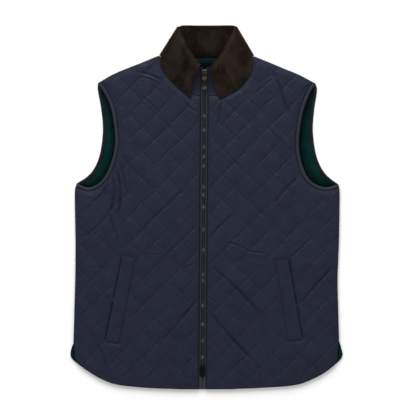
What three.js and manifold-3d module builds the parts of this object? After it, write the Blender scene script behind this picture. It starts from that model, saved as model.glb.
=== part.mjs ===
// A quilted vest laid flat on a surface, front side up and zipped to the top.
// Millimetres. +X is the wearer's left, +Y runs from the hem to the collar, and +Z is up.
// The origin lies on the surface, under the middle of the garment.

import * as THREE from 'three';
import { mergeVertices } from 'three/addons/utils/BufferGeometryUtils.js';
import Module from 'manifold-3d';

const wasm = await Module();
wasm.setup();

// Driving sizes

// Heights of the cloth layers above the surface, from the back up to the fronts
const BACK = { bottom: 0, top: 2.6 };
const LINING = { bottom: 2.9, top: 3.9 };
const TAPE = { bottom: 4.2, top: 5.2 };
const FRONT = { bottom: 5.5, top: 8.5 };
const FRONT_EDGE_DROP = 1.3;
const EDGE_ROUNDING = 16;

// Diamond quilting: stitch lines run both ways at 45 degrees to the zip
const QUILT = { pitch: 54.45, rise: 2.3, steps: 4, fullness: 0.6 };
// The quilting lies flat near the edges, and under and beside what presses on it
const PRESSED = { reach: 10, width: 14, hem: 2 };
const QUILT_PHASE = {
  right: { down: 18.9, up: 34.0 },
  left: { down: 18.9, up: 47.5 },
};

// The zip leans a little to one side, as the vest lies
const ZIP = { topX: -4.26, topY: 298.4, lean: 0.00685, frontGap: 7.8 };
const CHAIN = { halfWidth: 3.2, bottom: 4.2, top: 7.2, lowEnd: -337.2 };
const TAPES = { inner: 3.5, outer: 15, top: 299, boxInner: 5, hemInner: 0.3 };
const BOX = { low: -359.8, high: -337.6, halfWidth: 4.4, bottom: 4.2, top: 8.4 };

// Above the neck seam the zip and the collar bands rise on a slope
const SLOPE = { start: 236.5, radius: 60, angle: THREE.MathUtils.degToRad(12), level: 4.7, steps: 4 };

const SLIDER = {
  s: 282.6, halfLength: 10.6, topHalf: 6.2, lowHalf: 4.9,
  plateBottom: 7.5, plateTop: 8.9, keelBottom: 2.7, keelTop: 3.9,
  flangeBottom: 5.5, flangeWidth: 1.2, diamondHalf: 2, diamondLow: 6.1, diamondHigh: 9.6,
  bridgeHalf: 1.4, bridgeLow: -6.5, bridgeHigh: 5.5, bridgeTop: 13.9, bridgeBar: 1.7, bridgeRound: 2.2,
};
const TAB = {
  pivotBack: 3.2, pivotHeight: 10.6, thickness: 1.6, bar: 0.8, window: 6.2, windowHalf: 2,
  neckHalf: 3.6, waistHalf: 3, endHalf: 4.3, length: 31, restTilt: THREE.MathUtils.degToRad(4),
};

// Bindings on the armholes, and the seam gap beside them
const BINDING = { width: 6.7, seam: 7, overrun: 12, outside: 5 };
const SEAM_GAP = 0.7;

// Collar: the wall's thickness, and the roll where it turns over
const COLLAR = { wall: 2.4, rollRadius: 1.65, layers: 3.4, lip: 3, sideRadius: 4.8, standRadius: 1.55, sideLevel: 6.05 };

// Outlines. Each row names a place and gives [distance from the middle, Y] on the wearer's right and left.

const shoulder = [
  { at: 'neck corner', right: [95.5, 317.8], left: [96, 317.4] },
  { at: 'past the collar', right: [99.6, 320.9], left: [100.2, 320.4] },
  { at: 'inner', right: [107, 319.8], left: [104, 319.4] },
  { at: 'middle', right: [140.4, 305.9], left: [137.4, 305.9] },
  { at: 'outer', right: [173.4, 293.1], left: [167.8, 293.1] },
  { at: 'by the tip', right: [202.4, 280.3], left: [198.7, 280.3] },
  { at: 'tip', right: [231.2, 263], left: [232.4, 262] },
];

const armholeFront = [
  { at: 'shoulder tip', right: [231.2, 263], left: [232.4, 262] },
  { at: 'upper', right: [217.4, 242], left: [219.4, 240.9] },
  { at: 'above the chest', right: [202.6, 209], left: [204.5, 200] },
  { at: 'chest', right: [194.3, 150], left: [196.8, 146] },
  { at: 'below the chest', right: [197.2, 115.2], left: [199, 107] },
  { at: 'turning under', right: [209.6, 76.9], left: [210, 72.5] },
  { at: 'lower', right: [226, 53.5], left: [226, 52.5] },
  { at: 'lowest', right: [250, 41.5], left: [252, 42.3] },
  { at: 'underarm', right: [276, 50.5], left: [281, 48] },
];

const armholeBack = [
  { at: 'shoulder tip', right: [231.2, 263], left: [232.4, 262] },
  { at: 'upper', right: [231.2, 248], left: [235.2, 248] },
  { at: 'above the chest', right: [224.3, 210], left: [229.5, 210] },
  { at: 'chest', right: [220.5, 165], left: [226.3, 165] },
  { at: 'below the chest', right: [225.4, 119.6], left: [231.5, 119.6] },
  { at: 'turning under', right: [236, 88], left: [241.5, 89] },
  { at: 'lower', right: [252, 66.5], left: [257, 66.5] },
  { at: 'underarm', right: [276, 50.5], left: [281, 48] },
];

const side = [
  { at: 'underarm', right: [276, 50.5], left: [281, 48] },
  { at: 'below the underarm', right: [279.9, 30], left: [283, 30] },
  { at: 'waist', right: [278.4, -72], left: [281.6, -72] },
  { at: 'hip', right: [279, -150], left: [278.6, -150] },
  { at: 'low hip', right: [280.8, -215], left: [280, -215] },
  { at: 'top of the vent', right: [282.7, -287], left: [281.8, -283] },
];

const hemFront = [
  { at: 'top of the vent', right: [282.7, -287], left: [281.8, -283] },
  { at: 'vent', right: [281, -308], left: [279.6, -306] },
  { at: 'corner', right: [275.5, -329], left: [276.6, -328.6] },
  { at: 'corner of the hem', right: [251.3, -349.1], left: [256, -348.6] },
  { at: 'side of the hem', right: [217.3, -368.4], left: [225.8, -365.5] },
  { at: 'hem', right: [183.2, -378.6], left: [188, -378.4] },
  { at: 'inner hem', right: [120, -384.6], left: [120, -384] },
  { at: 'by the zip', right: [50, -387.2], left: [50, -387] },
];

const hemBack = [
  { at: 'top of the vent', right: [282.7, -287], left: [281.8, -283] },
  { at: 'vent', right: [288.2, -304], left: [287.4, -302] },
  { at: 'corner', right: [288.6, -318], left: [289, -317] },
  { at: 'below the corner', right: [278, -330], left: [278, -331] },
  { at: 'corner of the hem', right: [251.3, -349.1], left: [256, -348.6] },
  { at: 'side of the hem', right: [217.3, -368.4], left: [225.8, -365.5] },
  { at: 'hem', right: [183.2, -378.6], left: [188, -378.4] },
  { at: 'inner hem', right: [120, -384.6], left: [120, -384] },
  { at: 'by the zip', right: [50, -387.2], left: [50, -387] },
];
const HEM_MIDDLE = -387.3;

// Collar sections, from the front end round to the middle of the back.
// roll is the turned edge, edge the leaf's free edge and seam the neck seam. leafZ is the height of the
// leaf's middle at the roll, with the stand's below it, and bow moves the middle of the leaf sideways.
const collarFront = {
  right: [
    { at: 'front end', roll: [13, 301.6], edge: [33, 229.4], seam: [21, 236.3], leafZ: 23.3, bow: 5 },
    { at: 'by the front', roll: [21.7, 313.3], edge: [50.1, 245.2], seam: [43.5, 249.5], leafZ: 23, bow: 1 },
    { at: 'front', roll: [34.7, 333.1], edge: [73.5, 266.5], seam: [62, 268], leafZ: 19.6 },
    { at: 'side', roll: [46.6, 357], edge: [92.7, 289.9], seam: [80, 290], leafZ: 14.4 },
    { at: 'by the corner', roll: [54, 371], edge: [98.4, 307], seam: [90, 307], leafZ: 11.9 },
  ],
  left: [
    { at: 'front end', roll: [8.7, 298.6], edge: [28.8, 229.6], seam: [17, 236.3], leafZ: 22.7, bow: -4 },
    { at: 'by the front', roll: [19, 309], edge: [47, 239], seam: [38, 246], leafZ: 21.9, bow: -1 },
    { at: 'front', roll: [30, 325], edge: [72, 254.5], seam: [60, 263.5], leafZ: 19.4 },
    { at: 'side', roll: [42, 346], edge: [93.4, 282.5], seam: [79, 287], leafZ: 16 },
    { at: 'by the corner', roll: [54.6, 369.5], edge: [99.4, 307], seam: [90.4, 306], leafZ: 12.1 },
  ],
};
const collarSide = {
  right: { top: [57.9, 379.3], low: [95.3, 319.9] },
  left: { top: [60.3, 380.1], low: [96, 319.3] },
};
const collarBack = [
  { at: 'by the corner', roll: [49, 386.6], edge: [83, 319], seam: [83, 317.9] },
  { at: 'back', roll: [25, 386.6], edge: [43, 319], seam: [43, 317.9] },
];
const collarMiddle = { roll: [0, 386.6], edge: [0, 319], seam: [0, 317.9] };
const COLLAR_EDGE_Z = 10.1;
const COLLAR_SEAM_Z = 7.1;
const COLLAR_BACK_Z = { leaf: 1.25, stand: 4.45 };
const BAND_SHARE = 0.72;
const STAND_START = 0.78;

// Pocket welts: corners from the top inner one round, [distance from the middle, Y]
const WELT = { bottom: 8.8, top: 10.9, bevel: 0.6 };
const weltCorners = {
  right: [[152.5, -110.3], [178.5, -103.5], [214.5, -283.5], [186.6, -288.8]],
  left: [[147, -114.4], [174.2, -113.7], [203, -279.9], [174.2, -283.1]],
};

// The deepest folds of the fronts: a trough from one end to the other with a low ridge beside it
const folds = [
  { at: 'right, hip to zip', from: [-99, -287], to: [-16, -192], depth: 1.5, width: 9 },
  { at: 'right, under the armhole', from: [-205, 60], to: [-196, -60], depth: 1.3, width: 10 },
  { at: 'right, waist up to the zip', from: [-160, -75], to: [-36, 46], depth: 1.2, width: 9 },
  { at: 'right, shoulder', from: [-140, 286], to: [-94, 268], depth: 1.2, width: 8 },
  { at: 'left, armhole', from: [148, 12], to: [192, 61], depth: 1.5, width: 8 },
  { at: 'left, zip to pocket', from: [10, -124], to: [117, -230], depth: 1.4, width: 9 },
  { at: 'left, low zip to hem', from: [8, -222], to: [103, -330], depth: 1.4, width: 9 },
  { at: 'left, side', from: [199, -206], to: [266, -128], depth: 1.5, width: 9 },
  { at: 'left, collar to shoulder', from: [100, 240], to: [142, 272], depth: 1.1, width: 8 },
];

// Colours and finishes

function cloth(name, color, roughness, metalness = 0) {
  return new THREE.MeshStandardMaterial({ name, color, roughness, metalness });
}
const finish = {
  shell: () => cloth('shell', 0x2a2d3c, 0.55),
  trim: () => cloth('trim', 0x272a38, 0.6),
  lining: () => cloth('lining', 0x0f2a28, 0.5),
  corduroy: () => cloth('corduroy', 0x221c18, 0.95),
  tape: () => cloth('tape', 0x20222e, 0.85),
  metal: () => cloth('metal', 0x8c8474, 0.35, 1),
};

// Plane geometry

const mirror = { right: -1, left: 1 };

function place(side_, point) {
  return [mirror[side_] * point[0], point[1]];
}

function zipX(y) {
  return ZIP.topX + (y - ZIP.topY) * ZIP.lean;
}

// A smooth line through the points of one side of a table
function smoothLine(points, stepsPerSpan) {
  const line = new THREE.SplineCurve(points.map((p) => new THREE.Vector2(p[0], p[1])));
  const count = stepsPerSpan * (points.length - 1);
  return line.getPoints(count).map((p) => [p.x, p.y]);
}

function tableLine(table, side_, stepsPerSpan) {
  return smoothLine(table.map((row) => place(side_, row[side_])), stepsPerSpan);
}

function lerp(a, b, t) {
  return a + (b - a) * t;
}

function lerpPoint(a, b, t) {
  return a.map((value, i) => lerp(value, b[i], t));
}

function soft(t) {
  const c = Math.min(1, Math.max(0, t));
  return c * c * (3 - 2 * c);
}

function unit(v) {
  const length = Math.hypot(...v);
  return v.map((value) => value / length);
}

function distanceToLine(p, a, b) {
  const along = [b[0] - a[0], b[1] - a[1]];
  const share = ((p[0] - a[0]) * along[0] + (p[1] - a[1]) * along[1]) / (along[0] ** 2 + along[1] ** 2);
  const t = Math.min(1, Math.max(0, share));
  return Math.hypot(p[0] - a[0] - along[0] * t, p[1] - a[1] - along[1] * t);
}

function insidePolygon(p, polygon) {
  let inside = false;
  polygon.forEach((a, i) => {
    const b = polygon[(i + 1) % polygon.length];
    const crosses = a[1] > p[1] !== b[1] > p[1];
    if (crosses && p[0] < ((b[0] - a[0]) * (p[1] - a[1])) / (b[1] - a[1]) + a[0]) inside = !inside;
  });
  return inside;
}

function distanceToPolygon(p, polygon) {
  const sides = polygon.map((a, i) => distanceToLine(p, a, polygon[(i + 1) % polygon.length]));
  return Math.min(...sides);
}

// The line moved sideways: positive to its left
function offsetLine(line, distance) {
  return line.map((p, i) => {
    const before = line[Math.max(0, i - 1)];
    const after = line[Math.min(line.length - 1, i + 1)];
    const along = unit([after[0] - before[0], after[1] - before[1]]);
    return [p[0] - along[1] * distance, p[1] + along[0] * distance];
  });
}

// The line carried on straight past both ends
function extendLine(line, distance) {
  const first = unit([line[0][0] - line[1][0], line[0][1] - line[1][1]]);
  const end = line.length - 1;
  const last = unit([line[end][0] - line[end - 1][0], line[end][1] - line[end - 1][1]]);
  return [
    [line[0][0] + first[0] * distance, line[0][1] + first[1] * distance],
    ...line,
    [line[end][0] + last[0] * distance, line[end][1] + last[1] * distance],
  ];
}

// Solids

function toManifold(geometry) {
  const bare = geometry.index ? geometry.clone() : geometry;
  bare.deleteAttribute('normal');
  bare.deleteAttribute('uv');
  const merged = mergeVertices(bare, 1e-4);
  return new wasm.Manifold(new wasm.Mesh({
    numProp: 3,
    vertProperties: new Float32Array(merged.attributes.position.array),
    triVerts: new Uint32Array(merged.index.array),
  }));
}

function toGeometry(solid) {
  const mesh = solid.getMesh();
  const geometry = new THREE.BufferGeometry();
  geometry.setAttribute('position', new THREE.BufferAttribute(new Float32Array(mesh.vertProperties), 3));
  geometry.setIndex(new THREE.BufferAttribute(new Uint32Array(mesh.triVerts), 1));
  return geometry;
}

function indexedGeometry(points, triangles) {
  const geometry = new THREE.BufferGeometry();
  geometry.setAttribute('position', new THREE.Float32BufferAttribute(points.flat(), 3));
  geometry.setIndex(triangles.flat());
  return geometry;
}

// An outline pulled straight up from one height to another
function prism(outline, bottom, top, bevel = 0) {
  const shape = new THREE.Shape(outline.map((p) => new THREE.Vector2(p[0], p[1])));
  const geometry = new THREE.ExtrudeGeometry(shape, {
    depth: top - bottom - 2 * bevel,
    bevelEnabled: bevel > 0,
    bevelThickness: bevel,
    bevelSize: bevel,
    bevelOffset: -bevel,
    bevelSegments: 1,
    steps: 1,
  });
  geometry.translate(0, 0, bottom + bevel);
  return geometry;
}

// Rings of equal length, joined one to the next and closed at both ends
function loft(rings) {
  const count = rings[0].length;
  const triangles = [];
  rings.slice(1).forEach((_, i) => {
    for (let j = 0; j < count; j += 1) {
      const a = i * count + j;
      const b = i * count + ((j + 1) % count);
      triangles.push([a, b, b + count], [a, b + count, a + count]);
    }
  });
  const last = (rings.length - 1) * count;
  for (let j = 1; j < count - 1; j += 1) {
    triangles.push([0, j + 1, j], [last, last + j, last + j + 1]);
  }
  return indexedGeometry(rings.flat(), triangles);
}

// Turns a closed mesh the right way out
function faceOut(geometry) {
  const position = geometry.attributes.position;
  const index = geometry.index.array;
  const corner = [new THREE.Vector3(), new THREE.Vector3(), new THREE.Vector3()];
  let volume = 0;
  for (let i = 0; i < index.length; i += 3) {
    corner.forEach((v, k) => v.fromBufferAttribute(position, index[i + k]));
    volume += corner[0].dot(corner[1].clone().cross(corner[2]));
  }
  if (volume < 0) {
    for (let i = 0; i < index.length; i += 3) {
      [index[i], index[i + 1]] = [index[i + 1], index[i]];
    }
  }
  return geometry;
}

// A wall of even thickness about a grid of points: grid[column][row] is the middle of the wall
function sheetWall(grid, thickness) {
  const columns = grid.length;
  const rows = grid[0].length;
  const normalAt = (i, j) => {
    const along = new THREE.Vector3(...grid[Math.min(columns - 1, i + 1)][j])
      .sub(new THREE.Vector3(...grid[Math.max(0, i - 1)][j]));
    const across = new THREE.Vector3(...grid[i][Math.min(rows - 1, j + 1)])
      .sub(new THREE.Vector3(...grid[i][Math.max(0, j - 1)]));
    return along.cross(across).normalize();
  };
  const points = [];
  [0.5, -0.5].forEach((share) => {
    grid.forEach((column, i) => column.forEach((p, j) => {
      const moved = new THREE.Vector3(...p).addScaledVector(normalAt(i, j), share * thickness);
      points.push(moved.toArray());
    }));
  });
  const layer = columns * rows;
  const at = (i, j, low) => i * rows + j + (low ? layer : 0);
  const triangles = [];
  const quad = (a, b, c, d) => triangles.push([a, b, c], [a, c, d]);
  for (let i = 0; i < columns - 1; i += 1) {
    for (let j = 0; j < rows - 1; j += 1) {
      quad(at(i, j), at(i + 1, j), at(i + 1, j + 1), at(i, j + 1));
      quad(at(i, j, true), at(i, j + 1, true), at(i + 1, j + 1, true), at(i + 1, j, true));
    }
    quad(at(i, 0), at(i, 0, true), at(i + 1, 0, true), at(i + 1, 0));
    quad(at(i, rows - 1), at(i + 1, rows - 1), at(i + 1, rows - 1, true), at(i, rows - 1, true));
  }
  for (let j = 0; j < rows - 1; j += 1) {
    quad(at(0, j), at(0, j + 1), at(0, j + 1, true), at(0, j, true));
    const last = columns - 1;
    quad(at(last, j), at(last, j, true), at(last, j + 1, true), at(last, j + 1));
  }
  return faceOut(indexedGeometry(points, triangles));
}

// Along the front a point has a distance s up the cloth. Past SLOPE.start the cloth curves and then rises.
function alongFront(x, s, z) {
  const past = s - SLOPE.start;
  if (past <= 0) return [x, s, z];
  const turned = Math.min(SLOPE.angle, past / SLOPE.radius);
  const straight = Math.max(0, past - SLOPE.radius * SLOPE.angle);
  const y = SLOPE.start + SLOPE.radius * Math.sin(turned) + straight * Math.cos(turned);
  const rise = SLOPE.radius * (1 - Math.cos(turned)) + straight * Math.sin(turned);
  const above = z - SLOPE.level;
  return [x, y - above * Math.sin(turned), SLOPE.level + rise + above * Math.cos(turned)];
}

// Stations for a strip beside the zip: its ends, and close ones where the cloth curves
function zipStations(low, high, extra = []) {
  const curve = SLOPE.radius * SLOPE.angle;
  const bend = Array.from({ length: SLOPE.steps + 1 }, (_, i) => SLOPE.start + (curve * i) / SLOPE.steps);
  return [low, ...extra, ...bend, high].filter((s) => s >= low && s <= high);
}

function zipStrip(stations, sectionAt) {
  return faceOut(loft(stations.map((s) => sectionAt(s).map(([x, z]) => alongFront(zipX(s) + x, s, z)))));
}

// Collar

const halfWall = COLLAR.wall / 2;

// One section across the collar: the stand from its seam up to the roll, and the leaf down to its edge
function collarSection(row, side_) {
  const roll = place(side_, row.roll);
  const edge = place(side_, row.edge);
  const seam = place(side_, row.seam);
  const back = unit([roll[0] - edge[0], roll[1] - edge[1]]);
  const inset = halfWall + COLLAR.rollRadius;
  const start = [roll[0] - back[0] * inset, roll[1] - back[1] * inset];
  const bow = mirror[side_] * (row.bow ?? 0);
  return {
    back,
    leafStart: [...start, row.leafZ],
    leafEnd: [...edge, row.edgeZ ?? COLLAR_EDGE_Z],
    standStart: [...start, row.standZ ?? row.leafZ - COLLAR.layers],
    standEnd: [seam[0] + back[0] * SEAM_GAP, seam[1] + back[1] * SEAM_GAP, row.seamZ ?? COLLAR_SEAM_Z],
    bow,
  };
}

// At the side the collar folds from the front round to the back, the leaf outside the stand
function sideSections(side_, steps) {
  const top = place(side_, collarSide[side_].top);
  const low = place(side_, collarSide[side_].low);
  const back = unit([top[0] - low[0], top[1] - low[1]]);
  const outward = [mirror[side_] * back[1], -mirror[side_] * back[0]];
  const around = (point, radius, turn) => [
    point[0] + outward[0] * radius * Math.sin(turn),
    point[1] + outward[1] * radius * Math.sin(turn),
    COLLAR.sideLevel + radius * Math.cos(turn),
  ];
  return Array.from({ length: steps + 1 }, (_, i) => {
    const turn = (Math.PI * i) / steps;
    return {
      back,
      leafStart: around(top, COLLAR.sideRadius, turn),
      leafEnd: around(low, COLLAR.sideRadius, turn),
      standStart: around(top, COLLAR.standRadius, turn),
      standEnd: around(low, COLLAR.standRadius, turn),
      bow: 0,
    };
  });
}

function backRow(row) {
  return {
    ...row,
    leafZ: COLLAR_BACK_Z.leaf,
    standZ: COLLAR_BACK_Z.stand,
    edgeZ: COLLAR_BACK_Z.leaf,
    seamZ: COLLAR_BACK_Z.stand,
  };
}

// A section between two others
function between(a, b, t) {
  return {
    back: unit(lerpPoint(a.back, b.back, t)),
    leafStart: lerpPoint(a.leafStart, b.leafStart, t),
    leafEnd: lerpPoint(a.leafEnd, b.leafEnd, t),
    standStart: lerpPoint(a.standStart, b.standStart, t),
    standEnd: lerpPoint(a.standEnd, b.standEnd, t),
    bow: lerp(a.bow, b.bow, t),
  };
}

// Sections through the named rows on a smooth line, with steps in each span
function smoothSections(rows, steps) {
  const keys = ['leafStart', 'leafEnd', 'standStart', 'standEnd'];
  const curveOf = (key) => {
    const places = rows.map((row) => new THREE.Vector3(...row[key]));
    return new THREE.CatmullRomCurve3(places, false, 'centripetal');
  };
  const curves = Object.fromEntries(keys.map((key) => [key, curveOf(key)]));
  const count = (rows.length - 1) * steps;
  return Array.from({ length: count + 1 }, (_, i) => {
    const t = i / count;
    const span = Math.min(rows.length - 2, Math.floor(t * (rows.length - 1)));
    const section = between(rows[span], rows[span + 1], t * (rows.length - 1) - span);
    keys.forEach((key) => { section[key] = curves[key].getPoint(t).toArray(); });
    return section;
  });
}

const SIDE_STEPS = 6;
const FRONT_STEPS = 3;
const BACK_STEPS = 2;

function collarHalf(side_) {
  const front = collarFront[side_].map((row) => collarSection(row, side_));
  const corner = sideSections(side_, SIDE_STEPS);
  const rear = collarBack.map((row) => collarSection(backRow(row), side_));
  const middle = collarSection(backRow(collarMiddle), side_);
  return [
    ...smoothSections([...front, corner[0]], FRONT_STEPS),
    ...corner.slice(1, -1),
    ...smoothSections([corner[SIDE_STEPS], ...rear, middle], BACK_STEPS),
  ];
}

const collarHalves = { right: collarHalf('right'), left: collarHalf('left') };

// The points of one section of the leaf: lip, roll and leaf down to the free edge
function fallPoints(section) {
  const { back, leafStart, leafEnd, standStart, bow } = section;
  const middle = lerpPoint(leafStart, standStart, 0.5);
  const points = [standPoint(section, COLLAR.lip)];
  const turns = 5;
  for (let i = 0; i <= turns; i += 1) {
    const turn = (Math.PI * i) / turns;
    const bulge = COLLAR.rollRadius * Math.sin(turn);
    const half = leafStart.map((value, k) => (value - standStart[k]) / 2);
    points.push([
      middle[0] - half[0] * Math.cos(turn) + back[0] * bulge,
      middle[1] - half[1] * Math.cos(turn) + back[1] * bulge,
      middle[2] - half[2] * Math.cos(turn),
    ]);
  }
  const sideways = [back[1], -back[0]];
  const leafSteps = 6;
  for (let i = 1; i <= leafSteps; i += 1) {
    const t = i / leafSteps;
    const shift = bow * Math.sin(Math.PI * t);
    const p = lerpPoint(leafStart, leafEnd, t);
    points.push([p[0] + sideways[0] * shift, p[1] + sideways[1] * shift, p[2]]);
  }
  return points;
}

// A point on the stand, a distance down from the roll
function standPoint(section, distance) {
  const way = unit(section.standEnd.map((value, i) => value - section.standStart[i]));
  return section.standStart.map((value, i) => value + way[i] * distance);
}

function standPoints(section) {
  const { standStart, standEnd } = section;
  const length = Math.hypot(...standEnd.map((value, i) => value - standStart[i]));
  const first = (COLLAR.lip + 1.2 * SEAM_GAP) / length;
  const steps = 3;
  const shares = Array.from({ length: steps + 1 }, (_, i) => lerp(first, 1, i / steps));
  return shares.map((share) => lerpPoint(standStart, standEnd, share));
}

function collarFallGrid() {
  const left = collarHalves.left.slice(0, -1).reverse();
  return [...collarHalves.right, ...left].map(fallPoints);
}

function collarStandGrid() {
  const half = (side_) => {
    const first = between(collarHalves[side_][2], collarHalves[side_][3], 3 * STAND_START - 2);
    return [first, ...collarHalves[side_].slice(3)];
  };
  return [...half('right'), ...half('left').slice(0, -1).reverse()].map(standPoints);
}

// Outlines of the panels

function neckLine(side_) {
  const corner = place(side_, shoulder[0][side_]);
  const seams = collarFront[side_].map((row) => place(side_, row.seam));
  const start = [zipX(seams[0][1]) + mirror[side_] * ZIP.frontGap, seams[0][1]];
  return smoothLine([start, ...seams, corner], 2);
}

function frontOutline(side_) {
  const low = [zipX(HEM_MIDDLE) + mirror[side_] * ZIP.frontGap, HEM_MIDDLE];
  return [
    ...neckLine(side_),
    ...tableLine(shoulder, side_, 2).slice(1),
    ...tableLine(armholeFront, side_, 2).slice(1),
    ...tableLine(side, side_, 2).slice(1),
    ...tableLine(hemFront, side_, 3).slice(1),
    low,
  ];
}

function backOutline() {
  const half = (side_) => [
    ...tableLine(shoulder, side_, 2),
    ...tableLine(armholeBack, side_, 2).slice(1),
    ...tableLine(side, side_, 2).slice(1),
    ...tableLine(hemBack, side_, 3).slice(1),
  ];
  return [...half('left'), [0, HEM_MIDDLE], ...half('right').reverse()];
}

// The armhole's line, with the garment on the side that inward gives
function armholeLine(table, side_, overrun) {
  return extendLine(tableLine(table, side_, 2), overrun);
}

function armholeZone(table, side_, reach) {
  const line = armholeLine(table, side_, BINDING.overrun + 2);
  const outside = offsetLine(line, mirror[side_] * BINDING.outside);
  const inside = offsetLine(line, -mirror[side_] * reach);
  return [...outside, ...inside.reverse()];
}

function counterClockwise(outline) {
  return THREE.ShapeUtils.area(outline.map((p) => new THREE.Vector2(p[0], p[1]))) < 0
    ? [...outline].reverse() : outline;
}

function solidPrism(outline, bottom, top) {
  return toManifold(prism(counterClockwise(outline), bottom, top));
}

// Quilted fronts

function foldHeight(x, y) {
  return folds.reduce((sum, fold) => {
    const along = unit([fold.to[0] - fold.from[0], fold.to[1] - fold.from[1]]);
    const length = Math.hypot(fold.to[0] - fold.from[0], fold.to[1] - fold.from[1]);
    const dx = x - fold.from[0];
    const dy = y - fold.from[1];
    const way = dx * along[0] + dy * along[1];
    const across = dy * along[0] - dx * along[1];
    const ends = soft(way / (0.3 * length) + 0.5) * soft((length - way) / (0.3 * length) + 0.5);
    const trough = Math.exp(-((across / fold.width) ** 2));
    const ridge = Math.exp(-(((across - 1.7 * fold.width) / fold.width) ** 2));
    return sum + fold.depth * ends * (0.6 * ridge - trough);
  }, 0);
}

function quiltRise(shareDown, shareUp) {
  const round = (share) => Math.abs(Math.sin(Math.PI * share));
  return QUILT.rise * (round(shareDown) * round(shareUp)) ** QUILT.fullness;
}

// What lies on a front and presses it flat
function pressedAreas(side_) {
  const rows = collarHalves[side_].slice(0, collarFront[side_].length * FRONT_STEPS + 1);
  const edge = rows.map((row) => row.leafEnd.slice(0, 2));
  const roll = rows.map((row) => row.leafStart.slice(0, 2));
  return [[...edge, ...roll.reverse()], weltCorners[side_].map((corner) => place(side_, corner))];
}

function frontTop(x, y, outline, pressed, shareDown, shareUp) {
  const inside = insidePolygon([x, y], outline);
  const fromEdge = inside ? distanceToPolygon([x, y], outline) : 0;
  const away = pressed.map((area) => (insidePolygon([x, y], area) ? 0 : distanceToPolygon([x, y], area)));
  const free = soft((Math.min(...away) - PRESSED.reach) / PRESSED.width);
  const roundEdge = soft(fromEdge / EDGE_ROUNDING);
  const rise = quiltRise(shareDown, shareUp) * soft((fromEdge - PRESSED.hem) / PRESSED.width);
  return FRONT.top - FRONT_EDGE_DROP * (1 - roundEdge) + free * (rise + roundEdge * foldHeight(x, y));
}

// A square slab whose edges run along the quilting, with the pillows on top and a plain underside
function quiltSlab(side_, outline) {
  const phase = QUILT_PHASE[side_];
  const pressed = pressedAreas(side_);
  const toPoint = (down, up) => [
    (QUILT.pitch * (down + up) + phase.down + phase.up) / 2,
    (QUILT.pitch * (up - down) + phase.up - phase.down) / 2,
  ];
  const reach = (pick) => {
    const values = outline.map(pick);
    return [Math.floor(Math.min(...values)), Math.ceil(Math.max(...values))];
  };
  const [downLow, downHigh] = reach((p) => (p[0] - p[1] - phase.down) / QUILT.pitch);
  const [upLow, upHigh] = reach((p) => (p[0] + p[1] - phase.up) / QUILT.pitch);
  const shares = (low, high) => Array.from({ length: (high - low) * QUILT.steps + 1 }, (_, i) => low + i / QUILT.steps);
  const downs = shares(downLow, downHigh);
  const ups = shares(upLow, upHigh);
  const points = [];
  downs.forEach((down) => ups.forEach((up) => {
    const [x, y] = toPoint(down, up);
    points.push([x, y, frontTop(x, y, outline, pressed, down, up)]);
  }));
  const rows = ups.length;
  const triangles = [];
  for (let i = 0; i < downs.length - 1; i += 1) {
    for (let j = 0; j < rows - 1; j += 1) {
      const a = i * rows + j;
      triangles.push([a, a + rows, a + rows + 1], [a, a + rows + 1, a + 1]);
    }
  }
  const rim = [];
  for (let i = 0; i < downs.length - 1; i += 1) rim.push(i * rows);
  for (let j = 0; j < rows - 1; j += 1) rim.push((downs.length - 1) * rows + j);
  for (let i = downs.length - 1; i > 0; i -= 1) rim.push(i * rows + rows - 1);
  for (let j = rows - 1; j > 0; j -= 1) rim.push(j);
  const lowFirst = points.length;
  rim.forEach((index) => points.push([points[index][0], points[index][1], FRONT.bottom]));
  const [middleX, middleY] = toPoint((downLow + downHigh) / 2, (upLow + upHigh) / 2);
  points.push([middleX, middleY, FRONT.bottom]);
  const centre = points.length - 1;
  rim.forEach((index, k) => {
    const next = (k + 1) % rim.length;
    triangles.push([index, lowFirst + k, lowFirst + next], [index, lowFirst + next, rim[next]]);
    triangles.push([centre, lowFirst + next, lowFirst + k]);
  });
  return faceOut(indexedGeometry(points, triangles));
}

function frontPanel(side_) {
  const outline = frontOutline(side_);
  const slab = toManifold(quiltSlab(side_, outline));
  const cut = solidPrism(outline, FRONT.bottom - 1, FRONT.top + 9);
  const zone = solidPrism(armholeZone(armholeFront, side_, BINDING.seam), FRONT.bottom - 1, FRONT.top + 9);
  return toGeometry(slab.intersect(cut).subtract(zone));
}

// Back panel and its lining

function backLayer(layer, inset) {
  const outline = backOutline();
  const body = solidPrism(outline, layer.bottom, layer.top);
  const zones = ['right', 'left'].map((side_) =>
    solidPrism(armholeZone(armholeBack, side_, BINDING.seam + inset), layer.bottom - 1, layer.top + 1));
  return toGeometry(zones.reduce((solid, zone) => solid.subtract(zone), body));
}

// Bindings

// A folded strip along an armhole: [distance in from the edge, height] round its section
function bindingSection(bottom, top) {
  const w = BINDING.width;
  const middle = (bottom + top) / 2;
  const under = [[0, middle], [0.9, bottom], [w - 0.6, bottom], [w, middle]];
  const over = [[w - 0.9, top - 0.35], [w / 2, top], [0.7, top - 0.7]];
  return [...under, ...over];
}

function armholeBinding(table, side_, outline, bottom, top) {
  const line = armholeLine(table, side_, BINDING.overrun);
  const ring = bindingSection(bottom, top);
  const lines = ring.map(([inward]) => offsetLine(line, -mirror[side_] * inward));
  const rings = line.map((_, i) => ring.map(([, z], k) => [...lines[k][i], z]));
  const strip = toManifold(faceOut(loft(rings)));
  return toGeometry(strip.intersect(solidPrism(outline, bottom - 1, top + 1)));
}

// Collar bands beside the zip

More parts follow.
